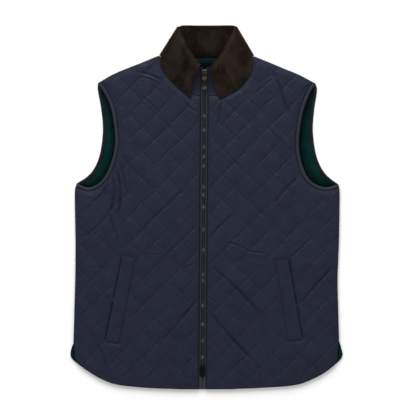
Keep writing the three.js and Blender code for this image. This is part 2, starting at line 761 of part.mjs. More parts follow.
function collarBand(side_) {
  const sections = collarHalves[side_];
  const outer = between(sections[2], sections[3], 3 * BAND_SHARE - 2);
  const away = (section) => standPoint(section, COLLAR.lip + 2 * SEAM_GAP).slice(0, 2);
  const top = away(sections[0]);
  const zipSide = (y) => [zipX(y) + mirror[side_] * ZIP.frontGap, y];
  const curveEnd = SLOPE.start + SLOPE.radius * Math.sin(SLOPE.angle);
  const seam = [outer, ...sections.slice(0, 3).reverse()].map((section) => section.standEnd.slice(0, 2));
  const outline = [
    ...[SLOPE.start + SEAM_GAP, curveEnd, top[1]].map(zipSide),
    ...sections.slice(0, 3).map(away),
    away(outer),
    ...seam,
  ];
  const geometry = prism(counterClockwise(outline), FRONT.bottom, FRONT.bottom + COLLAR.wall);
  const position = geometry.attributes.position;
  for (let i = 0; i < position.count; i += 1) {
    const y = position.getY(i);
    const straight = SLOPE.start + SLOPE.radius * SLOPE.angle + (y - curveEnd) / Math.cos(SLOPE.angle);
    const s = y <= curveEnd ? y : straight;
    position.setXYZ(i, ...alongFront(position.getX(i), s, position.getZ(i)));
  }
  return geometry;
}

// Zip

function zipTape(side_) {
  const m = mirror[side_];
  const inner = (s) => {
    if (s > BOX.high) return TAPES.inner;
    return s > BOX.low - 0.4 ? TAPES.boxInner : TAPES.hemInner;
  };
  const step = 0.3;
  const changes = [BOX.low - 0.4, BOX.low - 0.4 + step, BOX.high, BOX.high + step];
  const stations = zipStations(HEM_MIDDLE + 1.2, TAPES.top, changes);
  return zipStrip(stations, (s) => [
    [m * inner(s), TAPE.bottom],
    [m * TAPES.outer, TAPE.bottom],
    [m * TAPES.outer, TAPE.top],
    [m * inner(s), TAPE.top],
  ]);
}

function zipChain() {
  const { halfWidth: w, bottom, top, lowEnd } = CHAIN;
  const chamfer = 0.7;
  const ring = [
    [-w, bottom + chamfer], [-w + chamfer, bottom], [w - chamfer, bottom], [w, bottom + chamfer],
    [w, top - chamfer], [w - chamfer, top], [-w + chamfer, top], [-w, top - chamfer],
  ];
  return zipStrip(zipStations(lowEnd, SLIDER.s + SLIDER.diamondLow - 0.5), () => ring);
}

function roundedBar(halfWidth, low, high, radius) {
  const shape = new THREE.Path();
  shape.moveTo(-halfWidth + radius, low);
  shape.absarc(halfWidth - radius, low + radius, radius, -Math.PI / 2, 0, false);
  shape.absarc(halfWidth - radius, high - radius, radius, 0, Math.PI / 2, false);
  shape.absarc(-halfWidth + radius, high - radius, radius, Math.PI / 2, Math.PI, false);
  shape.absarc(-halfWidth + radius, low + radius, radius, Math.PI, Math.PI * 1.5, false);
  return shape.getPoints(4).map((p) => [p.x, p.y]).slice(0, -1);
}

function zipBox() {
  const outline = roundedBar(BOX.halfWidth, BOX.low, BOX.high, 1.5);
  const shifted = outline.map(([x, y]) => [x + zipX(BOX.low), y]);
  return prism(counterClockwise(shifted), BOX.bottom, BOX.top, 0.5);
}

// The slider in its own frame: x across the zip, y up along it, z off the cloth
function sliderPlate(bottom, top) {
  const { halfLength: h, topHalf, lowHalf } = SLIDER;
  const outline = [
    [-lowHalf + 1, -h], [lowHalf - 1, -h], [lowHalf, -h + 1], [lowHalf, -2], [topHalf, 3], [topHalf, h - 4],
    [topHalf - 2, h - 1], [2, h], [-2, h], [-topHalf + 2, h - 1], [-topHalf, h - 4], [-topHalf, 3],
    [-lowHalf, -2], [-lowHalf, -h + 1],
  ];
  return toManifold(prism(outline, bottom, top));
}

function block(x0, x1, y0, y1, z0, z1) {
  const box = new THREE.BoxGeometry(x1 - x0, y1 - y0, z1 - z0);
  box.translate((x0 + x1) / 2, (y0 + y1) / 2, (z0 + z1) / 2);
  return toManifold(box);
}

function sliderBridge() {
  const { bridgeLow: low, bridgeHigh: high, bridgeTop: top, bridgeBar: bar, bridgeRound: r } = SLIDER;
  const base = SLIDER.plateTop - 0.3;
  const shape = new THREE.Shape();
  shape.moveTo(low, base);
  shape.lineTo(low, top - r);
  shape.absarc(low + r, top - r, r, Math.PI, Math.PI / 2, true);
  shape.absarc(high - r, top - r, r, Math.PI / 2, 0, true);
  shape.lineTo(high, base);
  shape.lineTo(high - bar, base);
  shape.lineTo(high - bar, top - bar);
  shape.lineTo(low + bar, top - bar);
  shape.lineTo(low + bar, base);
  const across = { depth: 2 * SLIDER.bridgeHalf, bevelEnabled: false, curveSegments: 4 };
  const geometry = new THREE.ExtrudeGeometry(shape, across);
  // The profile is drawn in the plane of y and z and pulled across x
  geometry.applyMatrix4(new THREE.Matrix4().set(0, 0, 1, -SLIDER.bridgeHalf, 1, 0, 0, 0, 0, 1, 0, 0, 0, 0, 0, 1));
  return toManifold(geometry);
}

function zipSlider() {
  const s = SLIDER;
  const flange = (m) => {
    const outer = s.lowHalf - 0.05;
    const xs = [m * (outer - s.flangeWidth), m * outer].sort((a, b) => a - b);
    return block(xs[0], xs[1], -s.halfLength + 1.4, s.halfLength - 3, s.flangeBottom, s.plateBottom + 0.4);
  };
  const diamond = block(
    -s.diamondHalf, s.diamondHalf, s.diamondLow, s.diamondHigh, s.keelTop - 0.4, s.plateBottom + 0.4,
  );
  return toGeometry(sliderPlate(s.plateBottom, s.plateTop)
    .add(sliderPlate(s.keelBottom, s.keelTop))
    .add(flange(-1))
    .add(flange(1))
    .add(diamond)
    .add(sliderBridge()));
}

// The pull tab in its own frame: the pivot at the origin, the tab along -y
function zipPullTab() {
  const t = TAB;
  const half = (r) => {
    if (r < t.window + 2) return lerp(t.neckHalf, t.waistHalf, soft(r / (t.window + 2)));
    return lerp(t.waistHalf, t.endHalf, soft((r - t.window - 2) / (t.length - t.endHalf - t.window - 2)));
  };
  const steps = 6;
  const straight = Array.from({ length: steps + 1 }, (_, i) => lerp(-t.bar, t.length - t.endHalf, i / steps));
  const right = straight.map((r) => [half(r), -r]);
  const endSteps = 6;
  const end = Array.from({ length: endSteps - 1 }, (_, i) => {
    const turn = (Math.PI * (i + 1)) / endSteps;
    return [t.endHalf * Math.cos(turn), -(t.length - t.endHalf) - t.endHalf * Math.sin(turn)];
  });
  const left = [...straight].reverse().map((r) => [-half(r), -r]);
  const shape = new THREE.Shape([...right, ...end, ...left].map((p) => new THREE.Vector2(p[0], p[1])));
  const eye = [[-1, -t.bar], [-1, -t.window], [1, -t.window], [1, -t.bar]];
  shape.holes.push(new THREE.Path(eye.map((p) => new THREE.Vector2(p[0] * t.windowHalf, p[1]))));
  const geometry = new THREE.ExtrudeGeometry(shape, { depth: t.thickness, bevelEnabled: false });
  geometry.translate(0, 0, -t.thickness / 2);
  return geometry;
}

// Assembly

const group = new THREE.Group();

function addNode(name, geometry, material, parent = group) {
  const mesh = new THREE.Mesh(geometry, material);
  mesh.name = name;
  parent.add(mesh);
}

addNode('back_panel', backLayer(BACK, 0), finish.shell());
addNode('back_lining', backLayer(LINING, 0.2), finish.lining());

['right', 'left'].forEach((side_) => {
  addNode(`front_${side_}`, frontPanel(side_), finish.shell());
  addNode(
    `armhole_binding_front_${side_}`,
    armholeBinding(armholeFront, side_, frontOutline(side_), FRONT.bottom, FRONT.top + 0.9),
    finish.trim(),
  );
  addNode(
    `armhole_binding_back_${side_}`,
    armholeBinding(armholeBack, side_, backOutline(), BACK.bottom, LINING.top + 0.4),
    finish.trim(),
  );
  const welt = counterClockwise(weltCorners[side_].map((corner) => place(side_, corner)));
  addNode(`pocket_welt_${side_}`, prism(welt, WELT.bottom, WELT.top, WELT.bevel), finish.trim());
  addNode(`collar_band_${side_}`, collarBand(side_), finish.trim());
  addNode(`zip_tape_${side_}`, zipTape(side_), finish.tape());
});

addNode('collar_fall', sheetWall(collarFallGrid(), COLLAR.wall), finish.corduroy());
addNode('collar_stand', sheetWall(collarStandGrid(), COLLAR.wall), finish.corduroy());
addNode('zip_chain', zipChain(), finish.metal());
addNode('zip_box', zipBox(), finish.metal());

// The slider and its tab stand on the slope, so they share a tilted frame
const sliderFrame = new THREE.Group();
sliderFrame.position.set(...alongFront(zipX(SLIDER.s), SLIDER.s, 0));
sliderFrame.rotation.x = SLOPE.angle;
group.add(sliderFrame);
addNode('zip_slider', zipSlider(), finish.metal(), sliderFrame);

const tabFrame = new THREE.Group();
tabFrame.position.set(0, -TAB.pivotBack, TAB.pivotHeight);
tabFrame.rotation.x = TAB.restTilt;
sliderFrame.add(tabFrame);
addNode('zip_pull_tab', zipPullTab(), finish.metal(), tabFrame);

export default group;
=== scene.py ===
"""A quilted vest laid flat: cloth, sewing and zip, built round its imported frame."""

import math

import bpy
import numpy as np
from bpy.props import FloatProperty, FloatVectorProperty, PointerProperty
from bpy.types import Operator, Panel, PropertyGroup
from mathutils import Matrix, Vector
from mathutils.geometry import delaunay_2d_cdt


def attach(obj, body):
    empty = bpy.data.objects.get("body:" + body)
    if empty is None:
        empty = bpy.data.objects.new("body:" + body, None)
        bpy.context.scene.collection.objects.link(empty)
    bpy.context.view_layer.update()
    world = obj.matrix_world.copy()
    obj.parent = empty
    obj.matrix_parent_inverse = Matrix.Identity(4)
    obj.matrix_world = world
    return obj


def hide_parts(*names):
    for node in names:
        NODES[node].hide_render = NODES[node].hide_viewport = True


bl_info = {
    "name": "Quilted vest",
    "version": (1, 0, 0),
    "blender": (4, 5, 0),
    "location": "3D View > Sidebar > Vest",
    "description": "Builds the cloth, the sewing and the zip of a quilted vest on its frame",
    "category": "Add Mesh",
}

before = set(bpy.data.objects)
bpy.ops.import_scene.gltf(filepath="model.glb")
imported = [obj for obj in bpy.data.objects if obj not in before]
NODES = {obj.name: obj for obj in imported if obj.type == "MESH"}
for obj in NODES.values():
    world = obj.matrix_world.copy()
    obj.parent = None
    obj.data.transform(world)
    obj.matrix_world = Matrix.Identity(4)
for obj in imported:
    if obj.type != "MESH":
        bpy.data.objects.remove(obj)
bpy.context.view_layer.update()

# Everything below is in millimetres, as the garment was measured, and becomes metres in new_piece
METRE = 1000.0

# -1 is towards the wearer's right, which is the photograph's left
SIDES = {"right": -1, "left": 1}


def named_rows(columns, table):
    """Both sides' rows of a table, keyed by the names of its columns"""
    return {side: [dict(zip(columns, row)) for row in rows] for side, rows in table.items()}


# Heights of the layers above the floor
FRONT_LOW = 5.5
FRONT_SEAM = 8.5
LINING_LOW = 2.9
LINING_TOP = 3.9
BACK_TOP = 2.6
TAPE_TOP = 5.2
TAPE_LOW = 4.2
WELT_LOW = 8.8
WELT_TOP = 10.9

# The zip's middle line, which leans a little, and the slope on which its top end lies
ZIP_TOP_X = -4.26
ZIP_TOP_Y = 298.4
ZIP_LEAN = 0.00685
ZIP_GAP = 7.8
SLOPE_START = 236.5
SLOPE_RADIUS = 60.0
SLOPE_ANGLE = math.radians(12)
SLOPE_LEVEL = 4.7
CHAIN_LOW = -337.2
CHAIN_TOP = 288.2
BOX_TOP = -337.4
BOX_LOW = -360.2
TAPE_EDGE = 14.9
HEM_Y = -387.3

# Where the quilting lines of each piece fall across the two diagonals
QUILT_PHASE = {"right": (18.9, 34.0), "left": (18.9, 47.5), "back": (10.0, 24.0)}

# Armholes and the seams they end on: [distance from the middle, Y] on each side
ARMHOLE_FRONT = [
    {"at": "shoulder tip", "right": (231.2, 263), "left": (232.4, 262)},
    {"at": "upper", "right": (217.4, 242), "left": (219.4, 240.9)},
    {"at": "above the chest", "right": (202.6, 209), "left": (204.5, 200)},
    {"at": "chest", "right": (194.3, 150), "left": (196.8, 146)},
    {"at": "below the chest", "right": (197.2, 115.2), "left": (199, 107)},
    {"at": "turning under", "right": (209.6, 76.9), "left": (210, 72.5)},
    {"at": "lower", "right": (226, 53.5), "left": (226, 52.5)},
    {"at": "lowest", "right": (250, 41.5), "left": (252, 42.3)},
    {"at": "underarm", "right": (276, 50.5), "left": (281, 48)},
]
ARMHOLE_BACK = [
    {"at": "shoulder tip", "right": (231.2, 263), "left": (232.4, 262)},
    {"at": "upper", "right": (231.2, 248), "left": (235.2, 248)},
    {"at": "above the chest", "right": (224.3, 210), "left": (229.5, 210)},
    {"at": "chest", "right": (220.5, 165), "left": (226.3, 165)},
    {"at": "below the chest", "right": (225.4, 119.6), "left": (231.5, 119.6)},
    {"at": "turning under", "right": (236, 88), "left": (241.5, 89)},
    {"at": "lower", "right": (252, 66.5), "left": (257, 66.5)},
    {"at": "underarm", "right": (276, 50.5), "left": (281, 48)},
]
SHOULDER_NEXT = {"right": (202.4, 280.3), "left": (198.7, 280.3)}
SIDE_NEXT = {"right": (279.9, 30), "left": (283, 30)}
BINDING_WIDTH = 6.7

# Collar sections from the front end round to the middle of the back. leaf is the height of the
# leaf's middle at the roll, and bow moves the middle of the leaf sideways.
COLLAR_FRONT = named_rows(("at", "roll", "edge", "seam", "leaf", "bow"), {
    "right": [
        ("front end", (13, 301.6), (33, 229.4), (21, 236.3), 23.3, 5),
        ("by the front", (21.7, 313.3), (50.1, 245.2), (43.5, 249.5), 23, 1),
        ("front", (34.7, 333.1), (73.5, 266.5), (62, 268), 19.6, 0),
        ("side", (46.6, 357), (92.7, 289.9), (80, 290), 14.4, 0),
        ("by the corner", (54, 371), (98.4, 307), (90, 307), 11.9, 0),
    ],
    "left": [
        ("front end", (8.7, 298.6), (28.8, 229.6), (17, 236.3), 22.7, -4),
        ("by the front", (19, 309), (47, 239), (38, 246), 21.9, -1),
        ("front", (30, 325), (72, 254.5), (60, 263.5), 19.4, 0),
        ("side", (42, 346), (93.4, 282.5), (79, 287), 16, 0),
        ("by the corner", (54.6, 369.5), (99.4, 307), (90.4, 306), 12.1, 0),
    ],
})
COLLAR_SIDE = {
    "right": {"top": (57.9, 379.3), "low": (95.3, 319.9)},
    "left": {"top": (60.3, 380.1), "low": (96, 319.3)},
}
COLLAR_BACK = [
    {"at": "by the corner", "roll": (49, 386.6), "edge": (83, 319), "seam": (83, 317.9)},
    {"at": "back", "roll": (25, 386.6), "edge": (43, 319), "seam": (43, 317.9)},
    {"at": "middle", "roll": (0, 386.6), "edge": (0, 319), "seam": (0, 317.9)},
]
COLLAR_WALL = 2.4
ROLL_RADIUS = 1.65
ROLL_LAYERS = 3.4
COLLAR_LIP = 3.0
SIDE_RADIUS = 4.8
STAND_RADIUS = 1.55
SIDE_LEVEL = 6.05
LEAF_EDGE_Z = 10.1
SEAM_Z = 7.1
BACK_LEAF_Z = 1.25
BACK_STAND_Z = 4.45
SEAM_GAP = 0.7
BAND_SHARE = 0.72
STAND_SHARE = 0.78
CORNER_LIFT = 4.0

# Sections between two rows of the tables above, and round the fold at each side
COLLAR_STEPS = 14
CORNER_STEPS = 30

# Pocket welts: corners from the top inner one round
WELT_CORNERS = {
    "right": [(152.5, -110.3), (178.5, -103.5), (214.5, -283.5), (186.6, -288.8)],
    "left": [(147, -114.4), (174.2, -113.7), (203, -279.9), (174.2, -283.1)],
}

# Creases in the fronts, as they lie in the photograph
CREASES = named_rows(("at", "line", "depth", "width"), {
    "right": [
        ("shoulder upper", [(-142, 287), (-116, 279), (-94, 269)], 1.5, 5),
        ("shoulder lower", [(-146, 277), (-120, 271), (-99, 260)], 0.7, 4),
        ("chest", [(-140, 237), (-116, 217), (-95, 194)], 0.8, 5),
        ("below the collar tip", [(-49, 229), (-37, 212), (-18, 200)], 1.0, 5),
        ("armhole, inner", [(-182, 96), (-175, 58), (-165, 20)], 0.9, 5),
        ("armhole, middle", [(-192, 84), (-184, 52), (-183, 18), (-189, -20)], 1.35, 5),
        ("armhole, outer", [(-200, 70), (-196, 38), (-200, 8)], 1.1, 5),
        ("armhole, low", [(-206, 58), (-222, 28), (-240, 10)], 1.1, 4),
        ("side up to those", [(-262, -66), (-223, -32), (-203, -4), (-196, 24)], 1.3, 5),
        ("below those", [(-206, -14), (-198, -40), (-187, -72)], 1.0, 4),
        ("waist, long", [(-163, -79), (-125, -38), (-99, -10), (-35, 47)], 1.0, 6),
        ("waist, lower", [(-99, -113), (-61, -79), (-14, -34)], 1.0, 6),
        ("hip to zip", [(-99, -290), (-61, -247), (-10, -184)], 1.4, 5),
        ("tuck by the zip", [(-50, -130), (-29, -122), (-12, -108)], 0.8, 4),
        ("hem corner", [(-233, -289), (-220, -315), (-212, -341)], 1.0, 5),
        ("waist, level", [(-127, -100), (-108, -101), (-88, -100)], 0.4, 4),
        ("side, level", [(-256, -130), (-233, -128), (-212, -131)], 0.4, 4),
        ("low side", [(-252, -186), (-225, -189), (-203, -196)], 0.4, 4),
    ],
    "left": [
        ("collar tip", [(31, 224), (27, 200), (24, 175)], 1.2, 5),
        ("shoulder down", [(140, 292), (150, 271), (161, 239), (171, 207)], 1.3, 5),
        ("shoulder, inner", [(103, 239), (122, 258), (142, 273)], 1.2, 5),
        ("shoulder, low", [(118, 213), (135, 226), (152, 235)], 0.8, 4),
        ("chest, across", [(128, 171), (156, 143), (184, 117)], 0.9, 4),
        ("below the armhole", [(142, 6), (169, 37), (198, 66)], 1.4, 6),
        ("chest", [(7, -64), (33, -36), (61, -10)], 1.1, 5),
        ("waist", [(37, -74), (65, -81), (93, -94), (125, -98)], 1.1, 5),
        ("hip", [(178, -108), (201, -87), (225, -64)], 1.0, 5),
        ("low side", [(197, -209), (233, -166), (267, -128)], 1.3, 6),
        ("vent", [(259, -255), (267, -247), (276, -238)], 0.9, 4),
        ("zip to pocket", [(7, -123), (33, -145), (76, -185), (118, -230)], 1.6, 6),
        ("low zip to hem", [(5, -223), (54, -279), (80, -307), (103, -332)], 1.6, 6),
        ("hem", [(112, -347), (113, -355), (112, -366)], 0.8, 4),
        ("tuck by the zip", [(3, -189), (10, -196), (18, -202)], 1.0, 4),
    ],
})


# Sizes and colours that a user would change


def length_property(name, description, metres):
    return FloatProperty(name=name, description=description, default=metres, unit="LENGTH")


def colour_property(name, description, colour):
    return FloatVectorProperty(name=name, description=description, subtype="COLOR", size=4, default=colour)


class VestSizes(PropertyGroup):
    """Sizes of the quilting, the sewing and the zip, in metres"""

    quilt_pitch: length_property("Quilt pitch", "Distance between stitch lines", 0.0385)
    pad_rise: length_property("Pad rise", "How far a quilted pad swells", 0.0018)
    groove_depth: length_property("Groove depth", "How far a stitch line pulls in", 0.0009)
    crease_strength: FloatProperty(
        name="Crease strength", description="How deep the creases are", default=1.15, min=0, max=2
    )
    stitch_length: length_property("Stitch length", "Length of one stitch", 0.0026)
    stitch_step: length_property("Stitch step", "From one stitch to the next", 0.0034)
    thread: length_property("Thread", "Thickness of the sewing thread", 0.00055)
    wale_pitch: length_property("Wale pitch", "Distance between the corduroy's ribs", 0.0018)
    wale_height: length_property("Wale height", "Height of the corduroy's ribs", 0.00032)
    tooth_pitch: length_property("Tooth pitch", "Distance between the zip's teeth on a tape", 0.0024)


class VestColours(PropertyGroup):
    """Colours of the cloth, the thread and the metal"""

    shell: colour_property("Shell", "Navy shell cloth", (0.0118, 0.0138, 0.0275, 1))
    binding: colour_property("Binding", "Navy binding", (0.014, 0.0162, 0.027, 1))
    lining: colour_property("Lining", "Dark green lining", (0.0016, 0.0175, 0.016, 1))
    corduroy: colour_property("Corduroy", "Dark brown corduroy", (0.0095, 0.0062, 0.0048, 1))
    tape: colour_property("Zip tape", "Woven zip tape", (0.017, 0.0195, 0.034, 1))
    metal: colour_property("Metal", "Dull antique metal", (0.36, 0.345, 0.32, 1))
    thread: colour_property("Thread", "Sewing thread", (0.011, 0.0135, 0.024, 1))
    floor: colour_property("Floor", "Pale floor", (0.9, 0.9, 0.9, 1))


class VestStage(PropertyGroup):
    """Camera and lights"""

    view_width: length_property("View width", "What the picture spans at the vest", 0.8861)
    camera_height: length_property("Camera height", "Camera above the floor", 3.2)
    key_power: FloatProperty(
        name="Key power", description="Power of the large light", default=135, unit="POWER"
    )
    fill: FloatProperty(name="Fill", description="Strength of the light from all round", default=0.745, min=0)


# Plain geometry


def rows_of(values):
    return np.asarray(values, dtype=float)


def placed(point, side):
    return np.array([SIDES[side] * point[0], point[1]], dtype=float)


def soft(t):
    c = np.clip(t, 0, 1)
    return c * c * (3 - 2 * c)


def bell(distance, width):
    """1 at no distance, falling smoothly to 0 past the width"""
    return np.exp(-((distance / width) ** 2))


def zip_x(y):
    return ZIP_TOP_X + (y - ZIP_TOP_Y) * ZIP_LEAN


def unit_rows(v):
    return v / np.maximum(np.linalg.norm(v, axis=-1, keepdims=True), 1e-9)


def run_along(line):
    """Distance along a line to each of its points"""
    return np.concatenate([[0], np.cumsum(np.linalg.norm(np.diff(line, axis=0), axis=1))])


def along_front(x, s, z):
    """Places points beside the zip: past SLOPE_START the cloth curves and then rises to the collar's roll"""
    x, s, z = np.broadcast_arrays(rows_of(x), rows_of(s), rows_of(z))
    past = np.maximum(s - SLOPE_START, 0)
    turned = np.minimum(SLOPE_ANGLE, past / SLOPE_RADIUS)
    straight = np.maximum(past - SLOPE_RADIUS * SLOPE_ANGLE, 0)
    rise = SLOPE_RADIUS * (1 - np.cos(turned)) + straight * np.sin(turned)
    above = z - SLOPE_LEVEL
    y = np.minimum(s, SLOPE_START) + SLOPE_RADIUS * np.sin(turned) + straight * np.cos(turned)
    return np.stack([x, y - above * np.sin(turned), SLOPE_LEVEL + rise + above * np.cos(turned)], axis=-1)


def smooth_line(points, steps):
    """A line through the points, with an even number of steps in each span"""
    p = rows_of(points)
    p = np.vstack([2 * p[0] - p[1], p, 2 * p[-1] - p[-2]])
    t = np.linspace(0, 1, steps, endpoint=False)[:, None]
    made = []
    for a, b, c, d in zip(p[:-3], p[1:-2], p[2:-1], p[3:]):
        bend = 2 * a - 5 * b + 4 * c - d
        twist = 3 * b - a - 3 * c + d
        made.append(0.5 * (2 * b + (c - a) * t + bend * t**2 + twist * t**3))
    return np.vstack(made + [p[-2:-1]])


def even_line(points, step):
    """The same line with points at an even distance"""
    p = rows_of(points)
    run = run_along(p)
    count = max(1, int(round(run[-1] / step)))
    at = np.linspace(0, run[-1], count + 1)
    return np.stack([np.interp(at, run, p[:, k]) for k in range(p.shape[1])], axis=1)


def offset_line(line, distance):
    """The line moved to its left by a distance"""
    ahead = np.vstack([line[1:], 2 * line[-1] - line[-2]])
    behind = np.vstack([2 * line[0] - line[1], line[:-1]])
    along = unit_rows(ahead - behind)
    return line + distance * np.stack([-along[:, 1], along[:, 0]], axis=1)


def ring_inset(ring, distance):
    """A closed counter-clockwise ring moved inward"""
    along = unit_rows(np.roll(ring, -1, axis=0) - np.roll(ring, 1, axis=0))
    return ring + distance * np.stack([-along[:, 1], along[:, 0]], axis=1)


def distance_to_lines(points, starts, ends, chunk=4000):
    """Distance from each point to the nearest of many straight stretches"""
    along = ends - starts
    length = np.maximum((along**2).sum(1), 1e-9)
    found = np.empty(len(points))
    for first in range(0, len(points), chunk):
        p = points[first : first + chunk, None, :]
        t = np.clip(((p - starts) * along).sum(2) / length, 0, 1)
        gap = p - starts - along * t[..., None]
        found[first : first + chunk] = np.sqrt((gap**2).sum(2).min(1))
    return found


def distance_to_ring(points, ring):
    return distance_to_lines(points, ring, np.roll(ring, -1, axis=0))


def inside_ring(points, ring):
    x, y = points[:, 0], points[:, 1]
    inside = np.zeros(len(points), bool)
    for (x0, y0), (x1, y1) in zip(ring, np.roll(ring, -1, axis=0)):
        crosses = (y0 > y) != (y1 > y)
        if crosses.any():
            at = (x1 - x0) * (y - y0) / ((y1 - y0) or 1e-9) + x0
            inside ^= crosses & (x < at)
    return inside


def gap_outside(points, ring):
    """Distance from a ring for points outside it, and 0 inside"""
    return np.where(inside_ring(points, ring), 0, distance_to_ring(points, ring))


NOISE_TABLE = (97, 101)


def smooth_noise(x, y, size_x, size_y, seed):
    """Even noise from -1 to 1 with hills of the given sizes"""
    table = np.random.default_rng(seed).uniform(-1, 1, NOISE_TABLE)
    u, v = np.asarray(x) / size_x, np.asarray(y) / size_y
    i, j = np.floor(u).astype(int), np.floor(v).astype(int)
    fu, fv = soft(u - i), soft(v - j)

    def at(a, b):
        return table[a % NOISE_TABLE[0], b % NOISE_TABLE[1]]

    low = at(i, j) * (1 - fu) + at(i + 1, j) * fu
    high = at(i, j + 1) * (1 - fu) + at(i + 1, j + 1) * fu
    return low * (1 - fv) + high * fv


def ring_area(ring):
    x, y = ring[:, 0], ring[:, 1]
    return 0.5 * float(np.sum(x * np.roll(y, -1) - np.roll(x, -1) * y))


def flat_ring(node, step=2.2, corner=math.radians(33)):
    """The outline of a node's flat underside, counter-clockwise, smoothed between its corners"""
    mesh = NODES[node].data
    mesh.calc_loop_triangles()
    co = np.array([v.co for v in mesh.vertices]) * METRE
    low = co[:, 2].min()
    keys, same = np.unique(np.round(co[:, :2] * 50).astype(int), axis=0, return_inverse=True)
    same = same.ravel()
    place = np.zeros((len(keys), 2))
    place[same] = co[:, :2]
    edges = set()
    for triangle in mesh.loop_triangles:
        a, b, c = triangle.vertices
        if max(co[a, 2], co[b, 2], co[c, 2]) - low < 0.03:
            edges.update([(same[a], same[b]), (same[b], same[c]), (same[c], same[a])])
    after = {a: b for a, b in edges if (b, a) not in edges and a != b}
    rings = []
    while after:
        start = next(iter(after))
        ring = [start]
        while ring[-1] in after:
            ring.append(after.pop(ring[-1]))
        rings.append(place[ring[:-1]])
    ring = max(rings, key=lambda r: abs(ring_area(r)))
    if ring_area(ring) < 0:
        ring = ring[::-1]
    ahead, behind = np.roll(ring, -1, axis=0) - ring, ring - np.roll(ring, 1, axis=0)
    turn = np.arctan2(behind[:, 0] * ahead[:, 1] - behind[:, 1] * ahead[:, 0], (behind * ahead).sum(1))
    kept = np.abs(turn) > 1e-3
    ring, turn = ring[kept], turn[kept]
    corners = np.flatnonzero(np.abs(turn) > corner)
    ring = np.roll(ring, -corners[0], axis=0)
    corners = np.append(corners - corners[0], len(ring))
    closed = np.vstack([ring, ring[:1]])
    spans = [closed[a : b + 1] for a, b in zip(corners[:-1], corners[1:])]
    return np.vstack([even_line(smooth_line(span, 8), step)[:-1] for span in spans])


# Meshes


def new_piece(name, points, faces, material, replaces=(), smooth=True, values=None):
    """A mesh from points in millimetres, riding on the garment"""
    mesh = bpy.data.meshes.new(name)
    mesh.from_pydata((np.asarray(points) / METRE).tolist(), [], [list(map(int, f)) for f in faces])
    mesh.validate()
    for key, column in (values or {}).items():
        layer = mesh.attributes.new(key, "FLOAT", "POINT")
        layer.data.foreach_set("value", np.asarray(column, dtype=np.float32))
    if smooth:
        mesh.shade_smooth()
        mesh.set_sharp_from_angle(angle=math.radians(50))
    mesh.update()
    piece = bpy.data.objects.new(name, mesh)
    bpy.context.scene.collection.objects.link(piece)
    piece.data.materials.append(material)
    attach(piece, "garment")
    if replaces:
        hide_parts(*replaces)
    return piece


def filled(ring, inner):
    """Triangles over everything inside a ring, through the inner points"""
    count = len(ring)
    edges = [(i, (i + 1) % count) for i in range(count)]
    places = [Vector(p) for p in np.vstack([ring, inner])]
    found = delaunay_2d_cdt(places, edges, [], 1, 1e-4)
    return rows_of([v[:] for v in found[0]]), found[2]


def clear_points(points, ring, distance):
    inside = points[inside_ring(points, ring)]
    return inside[distance_to_ring(inside, ring) > distance]


def edge_round(d, radius):
    return np.sqrt(1 - (1 - np.clip(d / radius, 0, 1)) ** 2)


# A panel's rows of points along its edge, and how far in its other points begin
EDGE_INSETS = (0.12, 0.45, 1.0, 1.8)
PANEL_CLEAR = 2.6


def panel_shell(ring, top_points, top_height, low_points, low_height, rim, radius=2.0):
    """A closed sheet inside a ring. The heights are functions of x, y and the distance from the edge."""
    rings = [ring_inset(ring, d) for d in EDGE_INSETS]
    edge_points = [r[distance_to_ring(r, ring) > 0.8 * d] for r, d in zip(rings, EDGE_INSETS)]
    top_inner = clear_points(top_points, ring, PANEL_CLEAR)
    low_inner = clear_points(low_points, ring, PANEL_CLEAR)
    top_flat, top_faces = filled(ring, np.vstack([*edge_points, top_inner]))
    low_flat, low_faces = filled(ring, np.vstack([*edge_points[1:3], low_inner]))
    layers = []
    for flat, height in ((top_flat, top_height), (low_flat, low_height)):
        d = distance_to_ring(flat, ring)
        d[d < 0.02] = 0
        z = height(flat[:, 0], flat[:, 1], d)
        layers.append(np.column_stack([flat, rim + (z - rim) * edge_round(d, radius)]))
    points = np.vstack(layers)
    keys = np.round(points * 2000).astype(np.int64)
    _, first, same = np.unique(keys, axis=0, return_index=True, return_inverse=True)
    same = same.ravel()
    shift = len(top_flat)
    faces = [[same[i] for i in f] for f in top_faces]
    faces += [[same[i + shift] for i in reversed(f)] for f in low_faces]
    return points[first], faces


def flat_side(height):
    """The height of a flat side, for panel_shell"""
    return lambda x, y, d: np.full(len(x), height)


def lofted(rails, closed_section=True):
    """Faces and points over rails of equal length, capped at both ends: rails[k][i] is a point"""
    rails = rows_of(rails)
    sections, stations = rails.shape[:2]
    points = rails.transpose(1, 0, 2).reshape(-1, 3)
    faces = []
    for i in range(stations - 1):
        for k in range(sections if closed_section else sections - 1):
            a, b = i * sections + k, i * sections + (k + 1) % sections
            faces.append((a, b, b + sections, a + sections))
    if closed_section:
        last = (stations - 1) * sections
        faces.append(tuple(range(sections - 1, -1, -1)))
        faces.append(tuple(range(last, last + sections)))
    return points, faces


def lattice(phase, ring, shares):
    """Points that follow the quilting inside a ring's box, at the given shares of each diamond"""
    diagonal = quilt_diagonal()
    x, y = ring[:, 0], ring[:, 1]
    down, up = (x - y - phase[0]) / diagonal, (x + y - phase[1]) / diagonal
    places = []
    for across in (down, up):
        whole = np.arange(math.floor(across.min()), math.ceil(across.max()) + 1)
        places.append((whole[:, None] + rows_of(shares)).ravel())
    d, u = np.meshgrid(*places, indexing="ij")
    return quilt_places(d.ravel(), u.ravel(), phase)


def even_grid(ring, step):
    x = np.arange(ring[:, 0].min(), ring[:, 0].max(), step)
    y = np.arange(ring[:, 1].min(), ring[:, 1].max(), step)
    gx, gy = np.meshgrid(x, y, indexing="ij")
    shift = (np.arange(len(y)) % 2) * step / 2
    return np.column_stack([(gx + shift).ravel(), gy.ravel()])


def sizes():
    return bpy.context.scene.vest_sizes


